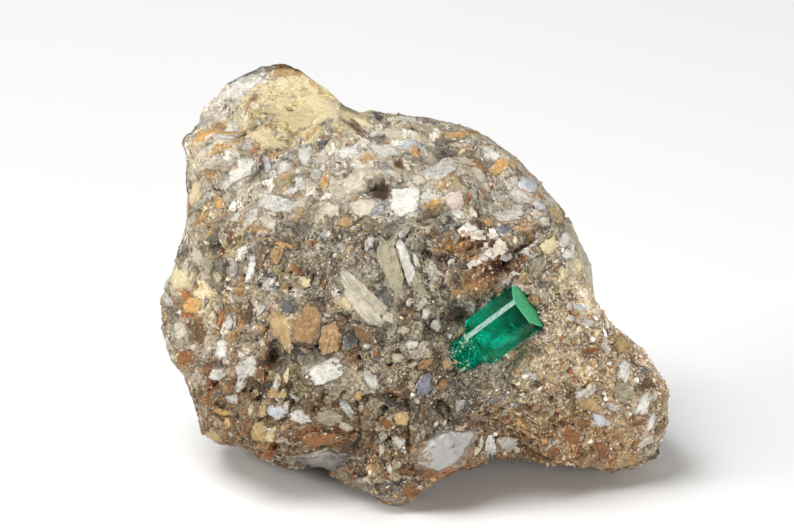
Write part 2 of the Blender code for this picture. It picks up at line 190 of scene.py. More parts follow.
# Relief all over the block: (longest wave, height) of the lumps, (size, height, tilt) of the fragments.
LUMPS = ((26.0, 0.75), (12.0, 0.42), (6.5, 0.22))
LUMP_WAVES = 26
FRAGMENTS = ((7.5, 0.70, 0.19), (3.6, 0.36, 0.21))
SEAM_WIDTH = 0.14
SEAM_DEPTH = 0.35
# The share of the relief that is left at the outline, and on the back.
RIM_RELIEF = 0.35
BACK_RELIEF = 0.65
# Where the relief fades towards the outline, as shares of the way out to it.
RIM_FADE = (0.86, 1.0)
# The stone's spine, which its relief rises from: the shares of x, s and t that lie on it.
SPINE = (0.72, 0.55, 0.0)

# The crystal: where its middle lies in the show frame, how its long axis turns, rises and rolls.
CRYSTAL_X = 14.9
CRYSTAL_S = -3.7
CRYSTAL_T = 18.2
CRYSTAL_TURN = math.radians(37.0)
CRYSTAL_RISE = math.radians(21.0)
CRYSTAL_ROLL = math.radians(3.0)
CRYSTAL_RADIUS = 4.03
# Each edge along the crystal is a narrow face. Half its width as an angle, and the one wide enough to see.
EDGE_BEVEL = 0.03
SHOWN_BEVEL = 0.105
SHOWN_EDGE = 1

# The rock round the crystal is drawn to a bed that slopes with it, this far under its axis.
BED_DEPTH = 0.7
BED_REACH = (5.0, 12.0)
BED_SLOPE = (0.26, 0.14)

# Sections along the crystal, from its broken root: (distance, share of radius, shift down a side, slant).
CRYSTAL_SECTIONS = (
    (-10.7, 0.48, 0.45, 0.24),
    (-9.9, 0.64, 0.45, 0.22),
    (-7.6, 0.70, 0.42, 0.14),
    (-5.9, 0.73, 0.36, 0.12),
    (-5.65, 0.95, 0.06, 0.12),
    (-5.4, 1.0, 0.0, 0.12),
    (4.86, 1.0, 0.0, 0.03),
    (5.0, 0.975, 0.0, 0.03),
)

# The skin: squares along a side of each patch, and how far the squares are drawn to the show side.
PATCH_STEPS = 127
FRONT_SHIFT = 0.5
# Fine relief of the skin: (width, height, tilt) of its splinters, and their seams as shares of the width.
FINE_FRAGMENTS = ((1.9, 0.20, 0.25), (0.9, 0.10, 0.30))
FINE_SEAM = 0.08
FINE_SEAM_WIDTH = 0.16
# The lowest that anything lies over the plane that the stone stands on.
FLOOR_GAP = 0.02

# The lengths of the crystal that the pocket is cleared for, and the room left round them.
PRISM_LENGTH = (-5.6, 5.0)
ROOT_LENGTH = (-10.4, -5.6)
ROOT_SHARE = 0.72
ROOT_SHIFT = 0.40
POCKET_GAP = 0.22

# The crystal: points to each of its twelve faces, rows along it and the rings that close its ends.
SIDE_POINTS = 9
CRYSTAL_ROWS = 110
END_SHARES = (0.0, 0.25, 0.5, 0.7, 0.85, 0.94)
# Veils: (across, out, along of the middle, half length, half width, turn about the side, in degrees). Those
# 2 mm or more out lie close under the main face, where they stand in for its glints and bright patches.
VEILS = (
    (-1.2, 1.0, 1.6, 1.0, 0.8, 62.0),
    (-1.6, 0.6, -0.4, 0.8, 0.9, 30.0),
    (-0.4, 1.6, -3.6, 1.1, 0.8, 50.0),
    (0.6, 0.4, -3.2, 0.9, 1.1, -40.0),
    (0.66, 2.9, -0.35, 0.26, 0.22, 10.0),
    (1.5, 2.8, -3.3, 0.30, 0.26, 14.0),
    (1.0, 2.7, -3.9, 0.5, 0.16, -12.0),
    (-1.2, 2.7, -0.1, 0.8, 0.24, 16.0),
    (-0.7, 2.4, 0.9, 0.4, 0.3, -20.0),
    (0.2, 2.6, -2.2, 0.9, 0.18, 20.0),
    (-1.5, 2.2, -2.4, 0.7, 0.5, 8.0),
    (0.3, 2.1, -3.2, 1.3, 1.1, 10.0),
    (-1.6, 2.2, -1.4, 1.5, 0.9, -8.0),
    (-2.3, 1.5, 0.8, 1.3, 0.6, 12.0),
)
VEIL_THICKNESS = 0.03
VEIL_TURNS = 20
VEIL_RINGS = 9

# The minerals of the ground, each with its colour.
MINERALS = {
    "white": (230, 224, 212),
    "pale": (194, 184, 164),
    "grey": (142, 133, 116),
    "slate": (76, 71, 64),
    "blue": (166, 170, 172),
    "cream": (214, 200, 166),
    "straw": (216, 198, 146),
    "ochre": (192, 148, 88),
    "tan": (176, 142, 96),
    "umber": (140, 110, 72),
    "olive": (150, 136, 96),
    "rust": (166, 104, 52),
    "brown": (98, 70, 42),
}
WARM_MINERALS = ("ochre", "tan", "umber", "rust", "brown")
GENERAL_MIX = {
    "white": 1.8, "pale": 3.0, "grey": 2.4, "slate": 0.9, "blue": 0.5, "cream": 2.0, "straw": 0.4,
    "ochre": 0.4, "tan": 1.2, "umber": 0.5, "olive": 0.8, "rust": 0.4, "brown": 0.5,
}
# Zones of the ground: where on the plan, half width and half height in mm, and the mix there.
ZONES = (
    (300, 100, 9.0, 6.0, {"cream": 3, "straw": 9, "tan": 0.6}),
    (285, 66, 5.0, 1.8, {"tan": 5, "ochre": 2, "straw": 2, "umber": 1}),
    (250, 68, 5.0, 2.6, {"white": 5, "pale": 4, "cream": 2, "grey": 1}),
    (225, 88, 4.0, 4.0, {"white": 4, "pale": 4, "cream": 2, "grey": 2, "tan": 1}),
    (205, 130, 5.0, 5.0, {"straw": 3, "cream": 4, "white": 2, "ochre": 2.4, "grey": 1.4}),
    (220, 145, 6.0, 9.0, {"white": 5, "cream": 3, "pale": 3, "ochre": 1.2}),
    (190, 330, 4.0, 16.0, {"pale": 3, "cream": 2, "grey": 2, "ochre": 1, "rust": 1, "brown": 1, "tan": 1}),
    (390, 180, 14.0, 10.0,
     {"white": 4.6, "pale": 5, "cream": 2, "blue": 1, "grey": 3, "slate": 0.5, "tan": 0.8}),
    (330, 260, 13.0, 8.0,
     {"slate": 4, "grey": 4, "white": 2.2, "pale": 2, "olive": 2, "umber": 1.6, "brown": 0.8}),
    (395, 262, 5.0, 7.0, {"pale": 3, "olive": 3, "grey": 4, "white": 1.6, "slate": 2}),
    (432, 330, 8.0, 8.0, {"cream": 2.4, "grey": 4, "pale": 2.4, "tan": 1.6, "slate": 2.4, "olive": 2}),
    (320, 370, 12.0, 8.0,
     {"grey": 4, "slate": 2.4, "pale": 2, "umber": 2, "olive": 2, "white": 1, "brown": 1}),
    (575, 345, 10.0, 15.0, {"cream": 9, "tan": 2.0, "ochre": 1.6, "rust": 1.0, "white": 8, "pale": 1.0}),
    (630, 390, 7.0, 10.0,
     {"white": 6, "tan": 2.0, "pale": 2, "cream": 4.4, "rust": 0.8, "grey": 1, "umber": 0.6}),
    (400, 450, 24.0, 8.0,
     {"brown": 2, "umber": 3, "rust": 1.8, "grey": 3, "tan": 3.4, "slate": 1, "cream": 1.4}),
    (230, 410, 9.0, 9.0, {"rust": 1.8, "tan": 3, "grey": 3, "olive": 2, "brown": 2, "umber": 2, "pale": 1}),
    (560, 440, 11.0, 6.0,
     {"brown": 1.4, "rust": 2.2, "tan": 3.6, "umber": 1.4, "ochre": 2.6, "cream": 4, "white": 1}),
    (440, 400, 8.0, 5.0, {"slate": 2, "grey": 3, "brown": 1.4, "pale": 2, "umber": 1}),
    (510, 170, 9.0, 9.0, {"white": 4, "pale": 4, "ochre": 1.2, "rust": 0.8, "grey": 1.2, "cream": 1}),
    (584, 262, 2.0, 7.0, {"cream": 6, "pale": 2, "tan": 1}),
    (484, 256, 5.0, 3.6, {"brown": 4, "rust": 2, "white": 2, "tan": 1.5, "umber": 1}),
    (450, 244, 3.4, 1.6, {"rust": 3, "ochre": 3, "umber": 2, "cream": 1}),
    (475, 284, 3.0, 2.2, {"ochre": 4, "tan": 4, "cream": 1, "rust": 1}),
    (452, 472, 9.0, 1.8, {"brown": 5, "rust": 3, "umber": 1}),
    (322, 440, 5.0, 2.0, {"rust": 5, "brown": 4, "umber": 2}),
)
ZONE_STRENGTH = 0.9
# Broad tones over the ground: (steps right, steps down, half width and half height in mm, factors of red,
# green and blue). They are partly painted light: the first two brighten the right-hand slope and lobe, which
# the lamps leave dim; the others brighten, darken or warm their zones.
BROAD_TONES_AND_PAINTED_LIGHT = (
    (582, 362, 10.0, 14.0, (1.45, 1.30, 1.10)), (632, 395, 8.0, 10.0, (1.12, 1.02, 0.90)),
    (552, 442, 12.0, 5.5, (0.97, 0.86, 0.72)), (240, 420, 9.0, 9.0, (0.97, 0.87, 0.74)),
    (225, 120, 8.0, 12.0, (1.10, 1.10, 1.10)), (240, 280, 9.0, 12.0, (1.25, 1.18, 1.10)),
    (350, 385, 13.0, 7.0, (0.92, 0.87, 0.80)), (405, 268, 5.5, 6.5, (0.90, 0.88, 0.84)),
    (390, 175, 11.0, 7.0, (1.02, 0.98, 0.93)),
)
CEMENT_SHADE = 1.05
# Blocks in which the ground's splinters lie one way: their size in mm and how far the way strays, in degrees.
LAY_BLOCK = 9.0
LAY_STRAY = 70.0
# How the splinters lie: (steps right, steps down, half width and half height in mm, degrees), and elsewhere.
LAYS = (
    (225, 120, 10.0, 9.0, 32.0), (300, 100, 9.0, 6.0, -8.0), (405, 262, 6.0, 8.0, 78.0),
    (350, 300, 6.0, 6.0, -40.0), (190, 300, 5.0, 18.0, 76.0), (430, 170, 14.0, 7.0, -20.0),
    (520, 190, 9.0, 9.0, -45.0), (270, 210, 12.0, 5.0, 60.0),
)
GENERAL_LAY = 66.0
# How splinters are pressed along the lay, and the waves, (length, size) in mm, that bend their sides.
SPLINTER_PRESS = 0.5
SPLINTER_BENDS = ((4.0, 0.40), (1.3, 0.16))
# The splinters in the ground: (width in mm, share that shows, how much of its own colour it has).
SPLINTERS = ((0.9, 0.55, 0.85), (1.9, 0.5, 0.9), (3.4, 0.22, 0.8))
SPLINTER_TONE = (0.66, 0.62)
# Painted shade: how much darker a hollow is painted, and how far in mm below the even surface it is darkest.
HOLLOW_SHADE = 0.45
HOLLOW_DEPTH = 0.9
EVEN_RELIEF = 0.25
# How much of a fragment's colour strays into the ground round it, and how far, in its own reaches.
STRAY_COLOUR = 0.55
STRAY_REACH = 1.45
# Open pores: (size of the cells, share of them that are open, width in sizes), their depth, and the colour
# of the painted shade in them.
VOIDS = ((2.6, 0.08, 0.42), (1.3, 0.07, 0.5))
VOID_DEPTH = 0.7
VOID_SHADE_COLOUR = (66, 48, 34)
# Deep pits and cracks, painted brown and with painted shade: (steps right, steps down, half width and half
# height in mm, turn in degrees, share).
DARK_PLACES = (
    (494, 268, 2.6, 1.2, 22.0, 0.95), (479, 244, 1.3, 1.1, 40.0, 0.8), (383, 194, 1.7, 1.2, 20.0, 0.9),
    (400, 166, 1.1, 0.8, 0.0, 0.85), (355, 132, 2.0, 0.5, -34.0, 0.8), (272, 361, 1.0, 1.5, 10.0, 0.6),
    (497, 277, 1.2, 0.9, 0.0, 0.7), (441, 282, 1.0, 2.0, -20.0, 0.5), (405, 300, 0.5, 2.2, 12.0, 0.6),
    (400, 262, 0.35, 3.8, 14.0, 0.7), (377, 296, 0.4, 2.4, 20.0, 0.6), (443, 262, 1.4, 1.6, 0.0, 0.5),
    (330, 356, 2.4, 0.5, -20.0, 0.5), (300, 345, 2.6, 0.4, 8.0, 0.5), (420, 222, 1.8, 0.6, 20.0, 0.5),
)
PIT_BROWN_AND_SHADE = (104, 64, 34)
# How thickly grit and sand lie in general, and how loose the ground is where they lie thickly.
SAND_SPREAD = 0.16
SANDY_LOOSE = 0.85
# Where they lie thickly: (steps right, steps down, half width and half height in mm, share).
SANDY_ZONES = (
    (575, 350, 12.0, 16.0, 1.0), (630, 400, 8.0, 10.0, 0.8), (560, 440, 13.0, 6.0, 1.0),
    (480, 392, 12.0, 6.0, 0.7), (400, 450, 24.0, 8.0, 0.5), (230, 410, 10.0, 8.0, 0.4),
    (436, 330, 8.0, 10.0, 0.5), (480, 258, 6.0, 5.0, 0.7), (330, 250, 12.0, 6.0, 0.3),
)
# Where the stone is smooth, with little grit and low relief: (steps right, steps down, half width and half
# height in mm, share).
SMOOTH_ZONES = (
    (300, 105, 13.0, 8.0, 1.0), (225, 135, 9.0, 11.0, 0.9), (345, 165, 13.0, 9.0, 0.85),
    (425, 165, 12.0, 9.0, 0.75), (505, 185, 10.0, 9.0, 0.6), (270, 195, 13.0, 7.0, 0.7),
    (190, 290, 4.0, 16.0, 0.6), (262, 320, 8.0, 8.0, 0.4), (584, 262, 4.0, 8.0, 0.8),
    (445, 452, 6.0, 3.0, 0.7),
)
# The least of the fine relief, the fragments' lift and the bump that is left where the stone is smooth.
SMOOTH_LEAST = 0.22
# The share of the coarse relief that is lost there.
SMOOTH_RELIEF = 0.5
# The pocket's wall under the crystal: pale below the first distance along it, and dark beyond the second.
POCKET_COLOURS = ((240, 240, 230), (112, 132, 116))
POCKET_CHANGE = (-3.0, 3.0)

# A named fragment: rings from its top's pole to its underside's pole, (share out, depth in mm).
CHIP_RINGS = (
    (0.0, 0.0), (0.4, 0.0), (0.75, 0.0), (0.93, 0.0), (1.0, 0.06), (0.99, 0.42), (0.90, 0.80), (0.0, 0.85),
)
CHIP_TURNS = 32
CHIP_SIDES = 6
CHIP_WAVER = 0.08
CHIP_LIFT = (-0.04, 0.20)
CHIP_SLOPE = 0.09
# The share of the stone's relief that a fragment's top keeps, and how far the skin lies under it.
CHIP_RELIEF = 0.35
CHIP_BED = 0.45
# The reaches of a fragment between which the skin rises from under it.
BED_EDGE = (0.98, 1.22)

# Grit: how many planes break a grain, how deep it sits in sizes, and how its tone varies.
GRIT_PLANES = 7
GRIT_SINK = 0.16
GRIT_TONE = 0.2
# Grit lies off the fragments, out of the pocket and over a height in mm. It thins out behind this direction.
GRIT_COVER = 1.02
GRIT_SUNK = 0.05
GRIT_HEIGHT = 0.8
GRIT_FRONT = -0.2

# Speckle in the skin: (start, mineral) of its colours where the ground is pale and where it is rusty.
COOL_SPECKLE = (
    (0.0, "slate"), (0.12, "grey"), (0.26, "pale"), (0.44, "white"), (0.66, "cream"), (0.84, "olive"),
    (0.88, "tan"), (0.95, "rust"),
)
WARM_SPECKLE = (
    (0.0, "brown"), (0.18, "umber"), (0.32, "tan"), (0.46, "cream"), (0.62, "rust"), (0.74, "ochre"),
    (0.84, "slate"), (0.90, "white"),
)
# (size in mm, share of the cells that show, weight of their colour), and the height of the skin's bump.
GROUND_SPECKLES = ((0.55, 0.5, 0.8), (0.28, 0.45, 0.75))
GROUND_BUMP = 0.6
# How fine the fibres in the splinters are, per metre, how they are drawn out, and their weight in the tone.
FIBRE_FINENESS = 2400.0
FIBRE_DRAW = 0.14
FIBRE_WEIGHT = 2.1

# Iron stain: how high its clouds must rise where nothing is warm, how far warmth lowers that, its colours.
STAIN_EDGE = 0.70
STAIN_REACH = 0.30
STAIN_COLOURS = ((0.0, (190, 156, 104)), (0.28, (164, 108, 58)), (0.5, (140, 76, 38)), (0.8, (70, 44, 28)))
CHIP_WARMTH = 0.6
# Pores in the ground: how low the fine clouds must fall, and the colour of the painted shade in them
# and in the cracks.
PORE_EDGE = 0.41
PORE_SHADE_COLOUR = (62, 50, 38)
# Cracks through ground and fragments: spacing and waver in mm, and width as a share of the spacing.
CRACK_SPACING = 5.2
CRACK_WAVER = 7.0
CRACK_WIDTH = 0.022

# Fragments' finishes: pale and deep tone, stain and its share, cloud size in mm, streaks, roughness, bump in
# mm and how far ground matter lies ragged over the rim in mm.
FINISHES = {
    "calcite_plates": ((222, 218, 208), (168, 162, 150), (180, 154, 116), 0.22, 1.2, 0.45, 0.42, 0.20, 2.6),
    "quartz_chips": ((204, 200, 190), (146, 140, 130), (160, 132, 92), 0.22, 1.0, 0.6, 0.38, 0.16, 2.8),
    "tan_chips": ((182, 150, 104), (134, 100, 62), (100, 68, 42), 0.25, 0.7, 0.5, 0.7, 0.20, 2.6),
    "limonite_chips": ((208, 164, 96), (160, 112, 56), (110, 70, 36), 0.30, 0.7, 0.6, 0.55, 0.18, 2.9),
    "slate_chips": ((104, 102, 100), (52, 51, 52), (140, 130, 114), 0.20, 0.8, 0.6, 0.4, 0.14, 2.8),
    "straw_blades": ((216, 202, 162), (196, 177, 131), (186, 156, 104), 0.15, 1.4, 0.7, 0.6, 0.16, 3.6),
    "brown_chips": ((124, 92, 60), (62, 44, 30), (160, 112, 62), 0.30, 0.6, 0.3, 0.75, 0.22, 4.0),
    "feldspar_chips": ((206, 197, 177), (158, 147, 124), (172, 136, 84), 0.28, 1.2, 0.55, 0.5, 0.20, 2.6),
    "bluish_quartz": ((198, 200, 201), (150, 153, 156), (180, 162, 124), 0.20, 1.1, 0.4, 0.28, 0.12, 2.8),
    "olive_laths": ((172, 163, 136), (122, 111, 86), (120, 94, 56), 0.30, 1.0, 0.8, 0.6, 0.20, 2.8),
    "rust_patches": ((152, 100, 52), (86, 55, 30), (58, 40, 26), 0.45, 0.5, 0.3, 0.75, 0.24, 5.0),
    "rosy_calcite": ((226, 208, 196), (196, 174, 160), (160, 100, 62), 0.20, 0.8, 0.4, 0.4, 0.16, 2.9),
    "grey_quartz": ((166, 164, 160), (142, 139, 134), (160, 140, 112), 0.06, 2.4, 0.06, 0.28, 0.06, 1.8),
    "banded_chalcedony": ((168, 161, 153), (92, 86, 81), (120, 86, 56), 0.05, 2.0, 0.9, 0.35, 0.08, 1.4),
    "ochre_chips": ((190, 162, 112), (150, 120, 78), (120, 78, 42), 0.25, 0.8, 0.6, 0.65, 0.18, 2.9),
    "honey_chips": ((154, 118, 70), (104, 74, 40), (82, 50, 24), 0.25, 0.9, 0.8, 0.4, 0.12, 2.6),
    "blue_slate": ((128, 128, 136), (84, 84, 94), (140, 122, 104), 0.20, 0.9, 0.6, 0.42, 0.12, 2.8),
}
# The colour of the painted shade in the fine pits of fragments.
PIT_SHADE_COLOUR = (96, 84, 66)
# The painted shade along a fragment's rim: its reach in the ragged overlap, in mm, its strength and its
# colour.
RIM_LINE = 0.16
RIM_SHADE_WEIGHT = 0.6
RIM_SHADE_COLOUR = (66, 52, 38)

# Grit: name, round form, count, (least, greatest) size in mm, lean of the grains, seed and the share of it
# that is kept off the back.
GRITS = (
    ("coarse_grit", "ball", 700, (0.42, 1.0), 0.4, 601, 0.2),
    ("fine_grit", "icosahedron", 8000, (0.22, 0.5), 0.6, 602, 0.35),
    ("sand", "octahedron", 24000, (0.11, 0.26), 0.9, 603, 0.6),
)

# The druse over the vug: clusters of blocks, as (steps right, steps down, half width and half height in
# steps, turn in degrees, blocks, rise in mm).
DRUSE = (
    (475, 263, 8.0, 3.2, 28.0, 20, 0.3), (488, 256, 5.0, 3.4, 30.0, 14, 0.45),
    (499, 249, 6.0, 5.5, 40.0, 26, 0.45), (484, 248, 4.0, 3.0, 20.0, 10, 0.25),
    (477, 237, 7.0, 4.0, -10.0, 14, 0.15), (467, 232, 6.0, 2.6, -8.0, 8, 0.15),
    (492, 236, 4.0, 3.0, 0.0, 8, 0.2), (506, 257, 2.6, 4.0, 0.0, 6, 0.3),
)
DRUSE_SIZE = (0.22, 0.85)
DRUSE_COLOURS = ((240, 232, 220), (222, 206, 184), (176, 128, 84), (200, 192, 178))
DRUSE_SHARES = (0.46, 0.28, 0.08, 0.18)
# Flecks of calcite on the crystal's root: how many, their (least, greatest) size in mm, and where they lie
# thickly: (steps right, steps down, reach in steps).
FLECKS = 330
FLECK_SIZE = (0.08, 0.27)
FLECK_SPOTS = ((464, 340, 7.0), (463, 369, 6.0), (452, 352, 4.0))
FLECK_COLOURS = ((226, 230, 204), (150, 176, 140))

# The crystal's tint where it is dark and where it is light, the distances along it in mm between which it
# changes, and how much clouds move that change.
CRYSTAL_DARK = (0.03, 0.52, 0.46)
CRYSTAL_LIGHT = (0.16, 1.0, 0.93)
CRYSTAL_CHANGE = (-3.5, 4.5)
CRYSTAL_CLOUDS = 2.2
# The colour that its body leaves in the light, how fast it takes light up, and its refraction.
CRYSTAL_BODY = (0.0, 0.985, 0.965)
CRYSTAL_DENSITY = 1600.0
CRYSTAL_IOR = 1.58
# The tint of its faces' gloss, and the heights of the lines and pits in them as shares of their bump.
CRYSTAL_GLOSS = (0.08, 0.40, 0.27)
CRYSTAL_LINES = 0.6
CRYSTAL_PITS = 0.5
# Its milky parts, the etched end and the wide edge, whose pale mottle is a painted highlight: name, deep and
# pale colour, cloud size in mm, roughness.
MILKY_AND_HIGHLIGHT_FINISHES = (
    ("etched emerald", (24, 224, 128), (140, 255, 196), 0.34, 0.4),
    ("emerald edge painted highlight", (96, 206, 170), (240, 255, 252), 0.42, 0.22),
)
VEIL_AND_GLINT_COLOURS = ((110, 236, 176), (224, 255, 240))

# The surround: as a direction faces the dark side, from the first share of it to the second, its strength
# falls from the third number to the fourth.
WORLD_FALL = (0.2, 0.66, 0.44, 0.04)
# Lights: (name, show-frame direction, distance in mm, size in metres, power in watts).
LIGHTS = (
    ("key", (-0.45, 0.95, 0.75), 900.0, (0.5, 0.5), 6.6),
    ("fill", (0.62, -0.14, 0.80), 1000.0, (0.9, 0.3), 6.8),
)
# A small light that the crystal's wide edge throws to the camera: distance in mm, size in metres, watts.
EDGE_LIGHT = (900.0, (0.30, 0.22), 3.0)
# The floor's side in metres, and its colour.
FLOOR_SIZE = 6.0
FLOOR_COLOUR = (0.93, 0.93, 0.925)

